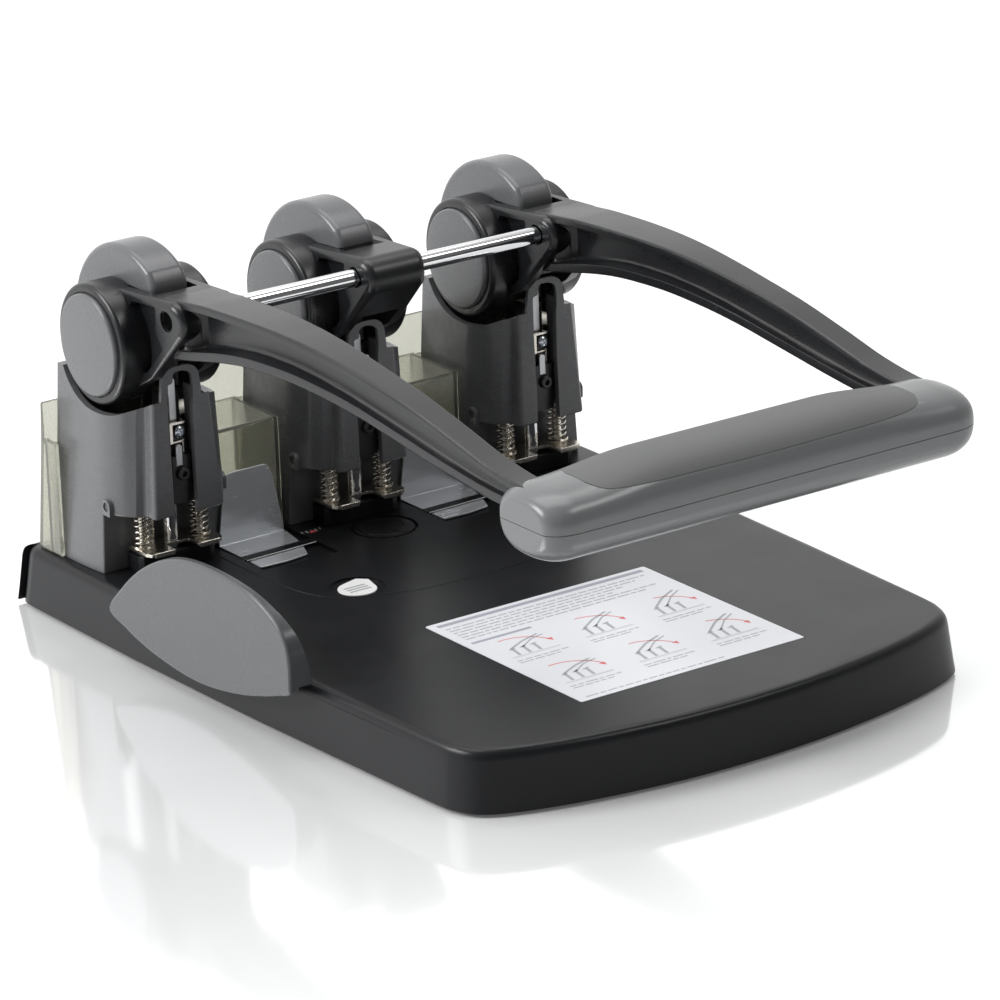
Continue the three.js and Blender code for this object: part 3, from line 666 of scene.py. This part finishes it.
def build_die():
    plan = fillet(mirror([(17, -5), (20, -3.8), (21.4, -1), (21.4, 9.8)]), 1.2)
    s = cut(prism("z", plan, 31.3, 40), disc("z", (0, 3), 3.9, 20, 60, 48))
    return soften(s, 0.5, 3, 35)


each_head(build_die, "die_look", "die_block_{}", "base", "black_moulding", "base")


def build_stripper():
    plan = [(-19.8, -12), (-6.5, -12), (-6.5, -3), (-4.6, -1.6), (4.6, -1.6), (6.5, -3), (6.5, -12), (19.8, -12),
            (21.6, -9), (21.9, -2), (21.9, 8.6), (-21.9, 8.6), (-21.9, -2), (-21.6, -9)]
    s = prism("z", fillet(plan, {0: 0.8, 1: 0.8, 6: 0.8, 7: 0.8, 8: 1.5, 13: 1.5, 10: 1.5, 11: 1.5, 2: 1, 5: 1}), 42, 43.5)
    s = cut(s, disc("z", (0, 3), 3.95, 30, 60, 48))
    for x in (-16, 16):
        s = cut(s, disc("z", (x, 3), 2.8, 30, 60, 32))
    return soften(s, 0.35, 3, 35)


each_head(build_stripper, "stripper_look", "stripper_plate_{}", "stripper_{}", "nickel_steel", "nickel")


def build_lip():
    """Raised bars along the front edge of the stripper plate."""
    return soften(add(box(-18.4, -7.2, -12.5, -11.2, 41.3, 43.85), box(7.2, 18.4, -12.5, -11.2, 41.3, 43.85)), 0.35, 3, 35)


each_head(build_lip, "stripper_lip_look", None, "stripper_{}", "nickel_steel", "nickel")


def build_back_plate():
    """Bright plate standing on the die behind the left spring."""
    return soften(box(-12.6, -5.6, 9.3, 10.0, 40.4, 61.6), 0.25, 2, 35)


each_head(build_back_plate, "back_plate_look", None, "base", "nickel_steel", "nickel")


def build_seats():
    """Pressed collars that centre the springs on the stripper plate."""
    a = lathe("z", (-16, 3), [(43.5, 3.0), (43.5, 5.6), (43.9, 5.8), (44.3, 5.4), (44.3, 3.0)], 40)
    b = lathe("z", (16, 3), [(43.5, 3.0), (43.5, 5.6), (43.9, 5.8), (44.3, 5.4), (44.3, 3.0)], 40)
    return join(a, b)


def join(a, *rest):
    bm = bmesh.new()
    for o in (a, *rest):
        bm.from_mesh(o.data)
    bm.to_mesh(a.data)
    bm.free()
    for o in rest:
        drop(o)
    return a


each_head(build_seats, "spring_seat_look", None, "stripper_{}", "nickel_steel", "nickel")


def build_frame():
    cheek = hull(circle(PY, PZ, 11, 48) + [(14.4, 32), (44, 32), (43, 104), (13, 100)])
    s = prism("x", cheek, 6.3, 8.3)
    s = add(s, box(-8.3, 8.3, 41, 43, 32, 100), prism("x", cheek, -8.3, -6.3), box(-26, 26, 14, 44, 31.6, 34), box(-20, 20, -1.6, 18, 104.8, 107.4))
    s = cut(s, box(-6, 6, -10, 40, 60, 130), disc("x", (PY, PZ), 5.35, -20, 20, 40))
    for x in (-16, 16):
        s = add(s, lathe("z", (x, 3), [(40.4, 0), (40.4, 1.9), (40.9, 2.4), (105.5, 2.4), (105.5, 0)], 32))
    return soften(s, 0.2, 2, 35)


each_head(build_frame, "head_frame_look", "head_frame_{}", "base", "nickel_steel", "nickel")


def build_ram():
    s = add(box(-20.4, 20.4, -2.4, 9, 64, 70), box(-5.2, 5.2, -11, 9, 66, 90))
    for x in (-16, 16):
        s = cut(s, disc("z", (x, 3), 2.8, 60, 80, 32))
    s = cut(s, disc("y", (0, 80.9), 1.2, -12, -8, 24))
    return soften(s, 0.45, 3, 35)


each_head(build_ram, "ram_block_look", "ram_{}", "ram_{}", "dark_steel", "dark")


def build_cap_screw():
    s = lathe("y", (0, 80.9), [(-10.9, 0), (-10.9, 3.4), (-12.6, 3.4), (-13.0, 3.1), (-13.2, 2.6), (-13.2, 0)], 48)
    s = cut(s, prism("y", circle(0, 80.9, 1.65, 6), -14, -11.4))
    return soften(s, 0.12, 2, 35)


each_head(build_cap_screw, "cap_screw_look", None, "ram_{}", "dark_steel", "dark")


def build_bracket():
    # nickel clip that carries the small screw: its bent lips above and beside the plate
    s = box(-4.9, 3.6, -9.5, -3, 105.4, 106.6)
    s = add(s, box(-4.9, -3.2, -9.5, -8.5, 96, 106.4), box(2.0, 2.9, -9.4, -5, 84.5, 97.5), box(-3.6, 2.9, -9.3, -4, 96.2, 97.0))
    return soften(s, 0.28, 3, 35)


each_head(build_bracket, "ram_bracket_look", None, "ram_{}", "nickel_steel", "nickel")


def build_backing():
    # blackened plate behind the screw and the bar that carries it up to the lever
    s = add(box(-4.8, 4.8, -8.4, -3, 91.0, 105.2), box(-4.8, 4.8, -3.6, 6, 88, 121))
    return soften(s, 0.4, 3, 35)


each_head(build_backing, "ram_backing_look", None, "ram_{}", "dark_steel", "dark")


def build_pan_screw():
    s = lathe("y", (0.3, 101.6), [(-9.3, 0), (-9.3, 3.2), (-9.9, 3.25), (-10.5, 2.95), (-11.0, 2.2), (-11.28, 1.2), (-11.34, 0)], 48)
    for ang in (38, 128):
        c, q = math.cos(math.radians(ang)), math.sin(math.radians(ang))
        p = [(0.3 + c * a - q * b, 101.6 + q * a + c * b) for a, b in ((-1.9, -0.36), (1.9, -0.36), (1.9, 0.36), (-1.9, 0.36))]
        s = cut(s, prism("y", p, -12, -10.2))
    return soften(s, 0.1, 2, 35)


each_head(build_pan_screw, "pan_screw_look", None, "ram_{}", "nickel_steel", "zinc")


def build_link():
    # flat drive link up to the lever, and the short one under the clip
    a = prism("y", fillet([(-2.6, 106.9), (1.2, 106.9), (1.2, 128), (-2.6, 128)], {2: 1.7, 3: 1.7}), -6.4, -4.4)
    b = prism("y", fillet([(-3.2, 85), (0.4, 85), (0.4, 95.6), (-3.2, 95.6)], {2: 1.5, 3: 1.5}), -11.4, -9.6)
    a = soften(a, 0.25, 2)
    b = soften(b, 0.3, 3)
    return join(a, b)


each_head(build_link, "ram_link_look", None, "ram_{}", "dark_steel", "steel")


def build_pin():
    return lathe("z", (0, 3), [(36.9, 0), (36.0, 3.1), (36.05, 3.4), (36.3, 3.55), (63.7, 3.55), (63.7, 0)], 64)


each_head(build_pin, "punch_pin_look", "punch_pin_{}", "ram_{}", "chromed_steel", "chrome")

for s, hx in HEAD.items():
    piece(lathe("x", (PY, PZ), [(-26, 0), (-26, 4.5), (-25.5, 5), (25.5, 5), (26, 4.5), (26, 0)], 48), f"pivot_axle_look_{s}", "base", "chromed_steel", "steel", [f"pivot_axle_{s}"], dx=hx)


# springs: round wire, ground flat end turns, standing between plate and crosshead
def build_spring():
    z0, z1, r, wire = 44.4 + 0.0, 63.3, 4.5, 0.48
    turns, n = 6.5, 24
    pts = []
    total = int(turns * n)
    for i in range(total + 1):
        t = i / total
        # closely wound end turns
        e = 0.9 / turns
        if t < e:
            h = 0.10 * t / e
        elif t > 1 - e:
            h = 1 - 0.10 * (1 - t) / e
        else:
            h = 0.10 + 0.80 * (t - e) / (1 - 2 * e)
        a = 2 * math.pi * turns * t
        pts.append((r * math.cos(a), r * math.sin(a), z0 + wire + (z1 - z0 - 2 * wire) * h))
    return tube(pts, wire, 8)


for s, hx in HEAD.items():
    for h, sx in (("a", -16), ("b", 16)):
        o = build_spring()
        o.data.transform(Matrix.Translation((sx, 3, 0)))
        piece(o, f"spring_look_{s}_{h}", None, "nickel_steel", "spring", [f"return_spring_{s}_{h}"], dx=hx, weighted=False, smooth_deg=70)
        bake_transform(o)


# ------------------------------------------------------------------ lever
GAP_R, IN, OUT, CHEEK = 47, 11.3, 28.9, 17.6
RODY, RODZ = -32, 166.3


def hub(sign):
    turn = [math.radians(v) for v in (12, 24, 36, 48, 60, 72, 84)]
    prof = [(IN, 5.4), (IN, 29.9), (IN + 0.3, 30.2), (26.5, 30.2)] + [(26.5 + 2.4 * math.sin(a), 27.8 + 2.4 * math.cos(a)) for a in turn]
    prof += [(28.9, 26.1), (28.6, 25.9), (27.6, 25.85), (27.6, 5.4)]
    return lathe("x", (PY, PZ), [(sign * x, r) for x, r in prof], 96)


CHEEK_LINE = hull(circle(PY, PZ, 27.6, 96) + arc(-35.3, 165.6, 10.6, 80, 215, 24) + [(-36, 152.8), (-16.5, 133.6)])


def build_cheeks(round_nose):
    # plan outline of the nose narrows to the front; its side edges are rounded over
    side = [(-47.5, 0.90), (-46, 0.93), (-43, 0.975), (-39, 1), (60, 1)]
    pts = CHEEK_LINE
    n = len(pts)
    norm = []
    for i in range(n):
        (ax, ay), (bx, by) = pts[i - 1], pts[(i + 1) % n]
        dx_, dy_ = bx - ax, by - ay
        d = math.hypot(dx_, dy_) or 1
        norm.append((dy_ / d, -dx_ / d))
    area2 = sum(pts[i - 1][0] * pts[i][1] - pts[i][0] * pts[i - 1][1] for i in range(n))
    flip = 1 if area2 > 0 else -1
    R = 4.6 if round_nose else 3.4
    rings = []
    steps = [0, 10, 22, 34, 46, 58, 70, 80, 90]

    def ring(xf, sg, drop_):
        out = []
        for (y, z), (ny, nz) in zip(pts, norm):
            k = smooth(-20, -33, y)
            r = (1.1 + (R - 1.1) * k)
            inset = r * drop_
            x = (CHEEK - r * xf)
            t = table(side, y)
            out.append((sg * x * t, y - flip * ny * inset, z - flip * nz * inset))
        return out
    for a_ in reversed(steps):
        t_ = math.radians(a_)
        rings.append(ring(1 - math.sin(t_), -1, 1 - math.cos(t_)))
    for v in (12.6, 9, 4, 0, -4, -9, -12.6):
        rings.append([(-v * table(side, y), y, z) for y, z in pts])
    for a_ in steps:
        t_ = math.radians(a_)
        rings.append(ring(1 - math.sin(t_), 1, 1 - math.cos(t_)))
    s = loft(rings)
    s = cut(s, disc("x", (PY, PZ), GAP_R, -IN, IN, 160))
    # pocket between hub and nose, with a raised step and a rib
    pocket = fillet([(-1, 169.6), (-24, 171.8), (-22.5, 165.5), (-20.8, 158.4), (-27.4, 150.8), (-14, 137.4), (-5, 132.8)], {1: 1.6, 2: 3.5, 3: 3.5, 4: 1.6, 5: 3}, 6)
    deep = fillet([(0, 168.2), (-9.4, 168.8), (-12.6, 158), (-13.4, 146), (-11.4, 138), (-4, 134)], 1.2, 4)
    for sg in (-1, 1):
        a, b = sorted((sg * 14.4, sg * 40))
        p = prism("x", pocket, a, b)
        p = cut(p, disc("x", (PY, PZ), 28.6, -50, 50, 96))
        s = cut(s, p)
        a, b = sorted((sg * 12.9, sg * 20))
        p = prism("x", deep, a, b)
        p = cut(p, disc("x", (PY, PZ), 29.4, -50, 50, 96))
        s = cut(s, p)
    return s


def bores(s):
    s = cut(s, disc("x", (PY, PZ), 5.35, -40, 40, 48), disc("x", (RODY, RODZ), 4.8, -60, 60, 48))
    for sg in (-1, 1):
        a, b = sorted((sg * 15.6, sg * 30))
        s = cut(s, disc("x", (RODY, RODZ), 5.3, a, b, 48))
    return s


def build_rocker():
    s = build_cheeks(True)
    s = add(s, hub(1), hub(-1))
    s = bores(s)
    return soften(s, 0.45, 3, 33)


piece(build_rocker(), "rocker_look", "lever", "black_casting", "cast", ["lever_rocker_centre"])

ARM_TOP = [(-28, 176.2), (-45, 177.8), (-62, 179.2), (-95, 180.3), (-125, 180.2), (-152, 178.6), (-180, 175.6), (-216, 170.6), (-250, 163.8), (-276, 158), (-300, 154.6), (-317, 154)]
ARM_LOW = [(-28, 146), (-38, 147.4), (-50, 149.6), (-72, 154), (-95, 157), (-125, 158), (-152, 156.8), (-180, 154.2), (-216, 149.4), (-250, 144.6), (-285, 141.2), (-317, 141)]
ARM_HALF = [(-28, 13.4), (-60, 12.6), (-100, 11.6), (-150, 9.3), (-180, 8.2), (-216, 7.4), (-250, 7), (-317, 6.8)]


def smooth_table(t):
    c = spline([(a, b) for a, b in t], 8, False)
    return sorted(c)


TOPC, LOWC, HALFC = smooth_table(ARM_TOP), smooth_table(ARM_LOW), smooth_table(ARM_HALF)


def arm_section(y):
    top, low, w = table(TOPC, y), table(LOWC, y), table(HALFC, y)
    k = smooth(-40.5, -49, y)
    web = w - 0.7 - (w - 0.7 - 3.0) * k
    tf, bf = 4.0, 5.0
    half = []  # (x, z), from the middle of the top to the middle of the bottom
    r = 1.3
    half += [(w - r, top)] + [(w - r + r * math.sin(a), top - r + r * math.cos(a)) for a in [math.radians(v) for v in (30, 60, 90)]]
    half += [(w, top - tf + 0.5), (w - 0.25, top - tf + 0.12), (w - 0.8, top - tf)]
    half += [(web + 1.6, top - tf - 0.45), (web + 0.55, top - tf - 1.3), (web, top - tf - 2.8)]
    mid = (top + low) / 2
    half += [(web, mid)]
    half += [(web, low + bf + 2.8), (web + 0.55, low + bf + 1.2), (web + 1.6, low + bf + 0.35)]
    half += [(w - 0.8, low + bf), (w - 0.25, low + bf - 0.12), (w, low + bf - 0.5)]
    half += [(w + (r - r), low + r)] + [(w - r + r * math.sin(a), low + r - r * math.cos(a)) for a in [math.radians(v) for v in (60, 30)]] + [(w - r, low)]
    return [(x, y, z) for x, z in half] + [(-x, y, z) for x, z in reversed(half)]


def build_arm():
    ys = [-26 - 2 * i for i in range(16)] + [-58 - 5 * i for i in range(52)]
    ys = [y for y in ys if y > -317] + [-317]
    a = loft([arm_section(y) for y in ys])
    a = cut(a, disc("x", (PY, PZ), GAP_R, -40, 40, 160))
    s = build_cheeks(False)
    s = add(s, a, hub(1), hub(-1))
    s = bores(s)
    return soften(s, 0.4, 3, 36)


master = build_arm()
for s in ("left", "right"):
    piece(copy(master), f"arm_look_{s}", "lever", "black_casting", "cast", [f"lever_arm_{s}"], dx=HEAD[s])
drop(master)

for s, hx in HEAD.items():
    for h, sg in (("a", -1), ("b", 1)):
        prof = [(27.9, 0), (27.9, 25.2), (28.2, 25.5), (29.6, 25.5)] + [(29.6 + 1.6 * math.sin(a), 23.9 + 1.6 * math.cos(a)) for a in [math.radians(v) for v in (15, 30, 45, 60, 75)]]
        prof += [(31.3, 20), (31.45, 14), (31.55, 7), (31.6, 0)]
        piece(lathe("x", (PY, PZ), [(sg * x, r) for x, r in prof], 96), f"pivot_cap_look_{s}_{h}", "lever", "grey_moulding", "grey", [f"pivot_cap_{s}_{h}"], dx=hx, smooth_deg=50)

rod_x = PITCH + 10
piece(lathe("x", (RODY, RODZ), [(-rod_x, 0), (-rod_x, 3.9), (-rod_x + 0.6, 4.5), (rod_x - 0.6, 4.5), (rod_x, 3.9), (rod_x, 0)], 64), "tie_rod_look", "lever", "chromed_steel", "chrome", ["tie_rod"])

# ------------------------------------------------------------------ handle
HY, HZ, HW, HH, HL, PART = -316, 141, 25, 19, 121, 139.4


def handle_solid(shrink, n=96):
    e = 2.5
    w, h, L = HW - shrink, HH - shrink, HL - shrink
    R = 15.5
    xs = []
    for i in range(13):
        a = math.radians(90 - 90 * i / 12)
        xs.append((-L + R * (1 - math.sin(a)), math.cos(a)))
    # xs runs from the tip inwards: the share that is taken off is cos of the angle
    rings = []
    order = [(x, c) for x, c in xs]
    left = sorted(order)
    for x, c in left:
        inset = R * 0.62 * (1 - math.sqrt(max(0.0, 1 - ((-L + R - x) / R) ** 2)))
        rings.append((x, inset))
    full = rings + [(-L + R + (2 * L - 2 * R) * k / 24, 0.0) for k in range(1, 24)] + [(-x, i) for x, i in reversed(rings)]
    out = []
    for x, inset in full:
        ring = []
        for k in range(n):
            t = 2 * math.pi * k / n
            c, s = math.cos(t), math.sin(t)
            y = (w - inset) * math.copysign(abs(c) ** (2 / e), c)
            z = (h - inset * 0.86) * math.copysign(abs(s) ** (2 / e), s)
            # the back and top are lower at both ends than under the pad
            k_ = smooth(52, 104, abs(x))
            ring.append((x, HY + y - 2.2 * k_ * max(0.0, y / w), HZ + z - 4.0 * k_ * max(0.0, z / h)))
        out.append(ring)
    return loft(out)


def pad_region(g):
    front = [(-94 - g, 190), (-94 - g, 159), (-92.6 - g, 156 - g), (-88, 154.1 - g), (-80, 153.2 - g), (-60, 152.7 - g), (0, 152.2 - g), (60, 152.7 - g), (80, 153.2 - g), (88, 154.1 - g), (92.6 + g, 156 - g), (94 + g, 159), (94 + g, 190)]
    a = prism("y", front[:2] + spline(front[2:-2], 5, False) + front[-2:], HY - 40, HY + 40)
    plan = [(-84 - g, HY - 40), (-93 - g, HY - 20), (-95.4 - g, HY - 9), (-93.6 - g, HY + 2), (-90 - g, HY + 14), (-86 - g, HY + 40)]
    plan = spline(plan, 5, False)
    b = prism("z", plan + [(-x, y) for x, y in reversed(plan)], 120, 200)
    return common(a, b)


def arm_hole(x):
    def ring(y, g=0.4):
        top, low, w = table(TOPC, y) + g, table(LOWC, y) - g, table(HALFC, y) + g
        return [(x - w, y, low), (x + w, y, low), (x + w, y, top), (x - w, y, top)]
    return loft([ring(y) for y in (-270, -280, -290, -300, -310, -317)] + [[(p[0], -317.5, p[2]) for p in ring(-317)]])


def build_handle():
    outer = handle_solid(0)
    core = handle_solid(2.6, 64)
    W = HL + 10
    upper = common(copy(outer), box(-W, W, HY - 40, HY + 40, PART + 0.15, PART + 60))
    upper = cut(upper, cut(pad_region(0.22), copy(core)))
    lower = common(copy(outer), box(-W, W, HY - 40, HY + 40, PART - 60, PART - 0.15))
    for s in ("left", "right"):
        upper = cut(upper, arm_hole(HEAD[s]))
        lower = cut(lower, arm_hole(HEAD[s]))
    pad = common(copy(outer), pad_region(0))
    pad = cut(pad, handle_solid(2.3, 64))
    drop(outer)
    drop(core)
    return soften(upper, 0.3, 2, 30), soften(lower, 0.3, 2, 30), soften(pad, 0.35, 3, 30)


up, low_, pad = build_handle()
piece(up, "handle_upper_look", "lever", "handle_moulding", "handle", ["handle_upper_shell"])
piece(low_, "handle_lower_look", "lever", "handle_moulding", "handle", ["handle_lower_shell"])
piece(pad, "grip_pad_look", "lever", "grip_pad", "pad", ["handle_grip_pad"])


# ------------------------------------------------------------------ dust cover
def build_dust():
    s = prism("x", [(53.7, 31.3), (66, 31.3), (58, 89), (56.4, 108.8), (53.7, 108.8)], -146.4, 146.4)
    x0 = TOWERHALF
    for a in (-PITCH, 0):
        s = add(s, prism("z", [(a + x0, 14.2), (a + PITCH - x0, 14.2), (a + PITCH - x0, 54.5), (a + x0, 54.5)], 31.3, 88))
    s = add(s, box(-146.4, -143.9, 44, 56, 31.3, 90), box(143.9, 146.4, 44, 56, 31.3, 90))
    s = bevel(s, 1.1, 4, None, 50)
    s = cut(s, prism("x", [(55.5, 26), (64.2, 26), (56.2, 87.2), (54.9, 86.8)], -144.4, 144.4))
    for a in (-PITCH, 0):
        s = cut(s, box(a + x0 + 2, a + PITCH - x0 - 2, 16.2, 56, 25, 86))
    return soften(s, 0.25, 2, 40)


piece(build_dust(), "dust_cover_look", "base", "smoked_clear", "smoke", ["rear_dust_cover"])


# ------------------------------------------------------------------ dial and depth stops
def build_dial():
    n = 60
    pts = []
    for i in range(n):
        a = 2 * math.pi * i / n
        for da, r in ((0.0, 15.6), (0.35, 15.6), (0.5, 15.0), (0.85, 15.0)):
            t = a + da * 2 * math.pi / n
            pts.append((r * math.cos(t), -22 + r * math.sin(t)))
    s = prism("z", pts, 29.9, 31.15)
    s = add(s, lathe("z", (0, -22), [(30.5, 0), (30.5, 13.4), (31.5, 13.2), (31.75, 12.8), (31.75, 10.2), (31.45, 9.8), (31.4, 0)], 96))
    s = add(s, disc("z", (0, -22), 3.1, 27.4, 30.2, 32))
    s = cut(s, prism("z", fillet([(-1.1, -34.4), (1.1, -34.4), (1.1, -30.6), (0, -29.4), (-1.1, -30.6)], 0.2), 31.2, 33))
    return soften(s, 0.12, 2, 35)


piece(build_dial(), "depth_dial_look", "dial", "black_moulding", "base", ["depth_dial"])

for k, (x, nm) in enumerate(zip(GUIDES, ("left", "right"))):
    tab = fillet([(x - 19, 29.7), (x - 19, 33.5), (x - 14.6, 62), (x - 12, 67.4), (x + 11, 67.4), (x + 13.6, 62), (x + 19, 33), (x + 19, 29.7)], {3: 4, 4: 4, 2: 3, 5: 3}, 6)
    foot = fillet([(x - 19, 9.2), (x - 19, -30), (x - 4, -30.6), (x + 9, -28.6), (x + 15, -14), (x + 19, 5), (x + 19, 9.2)], {1: 2, 3: 2, 4: 4}, 5)
    s = prism("y", tab, 8, 9.2)
    s = add(s, prism("z", foot, 29.7, 30.7))
    piece(soften(s, 0.3, 3, 40), f"depth_stop_look_{nm}", "stops", "galvanised_steel", "galv", [f"depth_stop_{nm}"])
    # keeper strip over the foot, with the white setting line along its front edge
    strip = soften(prism("z", fillet([(x - 21.2, -19.4), (x + 21.2, -18.2), (x + 21.2, -12.6), (x - 21.2, -13.4)], 0.5), 30.95, 31.5), 0.15, 2)
    piece(strip, f"stop_keeper_look_{nm}", "base", "black_moulding", "base")
    piece(strips([[(x - 20.6, -20.2), (x + 20.4, -19.0), (x + 20.4, -18.5), (x - 20.6, -19.7)]], 31.3, 0.22), f"stop_line_look_{nm}", "base", "label", "white", weighted=False)
ticks = [bar(-36.6 + 2.6 * i, -4.4 - (0.9 if i % 2 else 0), -36.1 + 2.6 * i, -2.4) for i in range(5)]
piece(strips(ticks, 31.29, 0.03), "setting_ticks_look", "base", "label", "white", weighted=False)
piece(strips([[(-33.4, -6.4), (-28.6, -6.0), (-31.2, -2.6)]], 31.29, 0.03), "setting_arrow_look", "base", "label", "inkred", weighted=False)

# ------------------------------------------------------------------ edge guide
LEAF = [(-20.5, 26), (-34, 41), (-50, 53.6), (-68, 63.4), (-86, 69.4), (-105, 72.2), (-128, 72.4), (-148, 70.2), (-163, 65.4), (-173.4, 59.6), (-179, 52.5),
        (-180.6, 43), (-180.3, 34), (-179.2, 28.6), (-170, 25.2), (-156, 20.8), (-138, 16.2), (-118, 12.7), (-98, 11), (-76, 12), (-54, 15), (-36, 19.6)]


def build_guide():
    pts = spline(LEAF, 6)

    def thick(z):
        return 13 if z < 33 else 13 - (z - 33) / 40 * 9.6

    rings = [[(-159.4, y, z) for y, z in pts], [(-159.4 + thick(z), y, z) for y, z in pts]]
    s = loft(rings)
    s = cut(s, box(-154, -120, -200, 0, 0, 31.5))
    s = bevel(s, 1.5, 5, lambda m, d: m.x < -159, 40)
    s = add(s, box(-155, -112, -130.4, -69.6, 14, 20))
    return soften(s, 0.5, 3, 38)


piece(build_guide(), "edge_guide_look", "guide", "guide_moulding", "guide", ["edge_guide"])


# ------------------------------------------------------------------ chip drawer
def build_drawer():
    y0, y1 = TRAY[0] + 0.5, TRAY[1] - 0.5
    s = cut(box(-142, 148.4, y0, y1, 4, 26), box(-140.4, 145.4, y0 + 1.6, y1 - 1.6, 5.6, 40))
    s = add(s, box(147, 150.4, y0, y1, 4, 26), prism("y", [(150, 12), (157.6, 12.2), (159.4, 13), (159.4, 14.6), (157.6, 15.4), (150, 15.5)], 2, 22))
    return soften(s, 0.35, 2, 35)


piece(build_drawer(), "chip_drawer_look", "drawer", "black_moulding", "base", ["chip_drawer"])

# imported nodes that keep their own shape
for n, key in (("base_floor_plate", "base"), ("foot_front_left", "rubber"), ("foot_front_right", "rubber"), ("foot_back_left", "rubber"), ("foot_back_right", "rubber")):
    ob = bpy.data.objects.get(n)
    if ob:
        ob.data.materials.clear()
        ob.data.materials.append(M[key])

# ------------------------------------------------------------------ camera
AZ, EL, ROLL, F = -0.60114, 0.33678, -0.03613, 5598.2
CAM = Vector((-1432.28, -2212.94 + OY, 959.25 + OZ)) / 1000
back = Vector((math.sin(AZ) * math.cos(EL), -math.cos(AZ) * math.cos(EL), math.sin(EL)))
right = (-back).cross(Vector((0, 0, 1))).normalized()
up = right.cross(-back)
c, s = math.cos(ROLL), math.sin(ROLL)
r2, u2 = right * c + up * s, up * c - right * s
cam = bpy.data.cameras.new("camera")
cam_ob = bpy.data.objects.new("camera", cam)
bpy.context.scene.collection.objects.link(cam_ob)
mat = Matrix((r2, u2, back)).transposed().to_4x4()
mat.translation = CAM
cam_ob.matrix_world = mat
cam.sensor_width = 36
cam.lens = F * 36 / 1000
cam.clip_end = 50
bpy.context.scene.camera = cam_ob

# ------------------------------------------------------------------ studio
floor = obj_from([(-6, -6, 0), (6, -6, 0), (6, 6, 0), (-6, 6, 0)], [(0, 1, 2, 3)], "studio_floor")
fm = bpy.data.materials.new("studio_floor")
fm.use_nodes = True
fb = fm.node_tree.nodes["Principled BSDF"]
fb.inputs["Base Color"].default_value = (0.93, 0.935, 0.94, 1)
# polished near the punch, its shine fading out towards the front
ftc = fm.node_tree.nodes.new("ShaderNodeTexCoord")
fsep = fm.node_tree.nodes.new("ShaderNodeSeparateXYZ")
fr = fm.node_tree.nodes.new("ShaderNodeMapRange")
fr.inputs["From Min"].default_value = -0.62
fr.inputs["From Max"].default_value = -0.05
fr.inputs["To Min"].default_value = 0.0
fr.inputs["To Max"].default_value = 0.52
fm.node_tree.links.new(ftc.outputs["Object"], fsep.inputs[0])
fm.node_tree.links.new(fsep.outputs[1], fr.inputs["Value"])
fm.node_tree.links.new(fr.outputs["Result"], fb.inputs["Metallic"])
fb.inputs["Roughness"].default_value = 0.08
fb.inputs["Specular IOR Level"].default_value = 0.12
fb.inputs["Emission Color"].default_value = (1, 1, 1, 1)
fb.inputs["Emission Strength"].default_value = 0.08
floor.data.materials.append(fm)

world = bpy.data.worlds.new("studio")
bpy.context.scene.world = world
world.use_nodes = True
wn = world.node_tree
bg = wn.nodes["Background"]
tc = wn.nodes.new("ShaderNodeTexCoord")
sep = wn.nodes.new("ShaderNodeSeparateXYZ")
wn.links.new(tc.outputs["Generated"], sep.inputs[0])


def wmath(op, a, b=None, c_=None):
    n = wn.nodes.new("ShaderNodeMath")
    n.operation = op
    for i, v in enumerate((a, b, c_)):
        if v is None:
            continue
        if isinstance(v, (int, float)):
            n.inputs[i].default_value = v
        else:
            wn.links.new(v, n.inputs[i])
    return n.outputs[0]


# brighter from the back, the left and above; darker from where the camera stands
dx, dy, dz = sep.outputs[0], sep.outputs[1], sep.outputs[2]
bright = wmath("MULTIPLY_ADD", dy, 0.66, 0.58)
bright = wmath("ADD", bright, wmath("MULTIPLY", dx, 0.02))
bright = wmath("MAXIMUM", bright, 0.12)
lp = wn.nodes.new("ShaderNodeLightPath")
mixc = wmath("MAXIMUM", bright, lp.outputs["Is Camera Ray"])
wn.links.new(mixc, bg.inputs["Strength"])
bg.inputs["Color"].default_value = (1.0, 1.0, 1.0, 1)


def area(name, loc, target, size, power, shape="RECTANGLE", color=(1, 1, 1)):
    l = bpy.data.lights.new(name, "AREA")
    l.shape = shape
    l.size, l.size_y = size
    l.energy = power
    l.color = color
    o = bpy.data.objects.new(name, l)
    bpy.context.scene.collection.objects.link(o)
    o.location = loc
    d = Vector(target) - Vector(loc)
    o.rotation_euler = d.to_track_quat("-Z", "Y").to_euler()
    return o


area("key_left", (-2.0, 0.8, 1.5), (0, 0, 0.1), (1.3, 1.1), 50)
area("top", (0.2, 0.6, 2.4), (0, 0, 0), (2.2, 1.6), 30)
area("front_box", (1.2, -1.5, 2.3), (0, 0, 0.1), (1.2, 0.6), 13)

scene = bpy.context.scene
scene.view_settings.view_transform = "Standard"
scene.view_settings.look = "None"
scene.view_settings.exposure = 0
scene.view_settings.gamma = 1
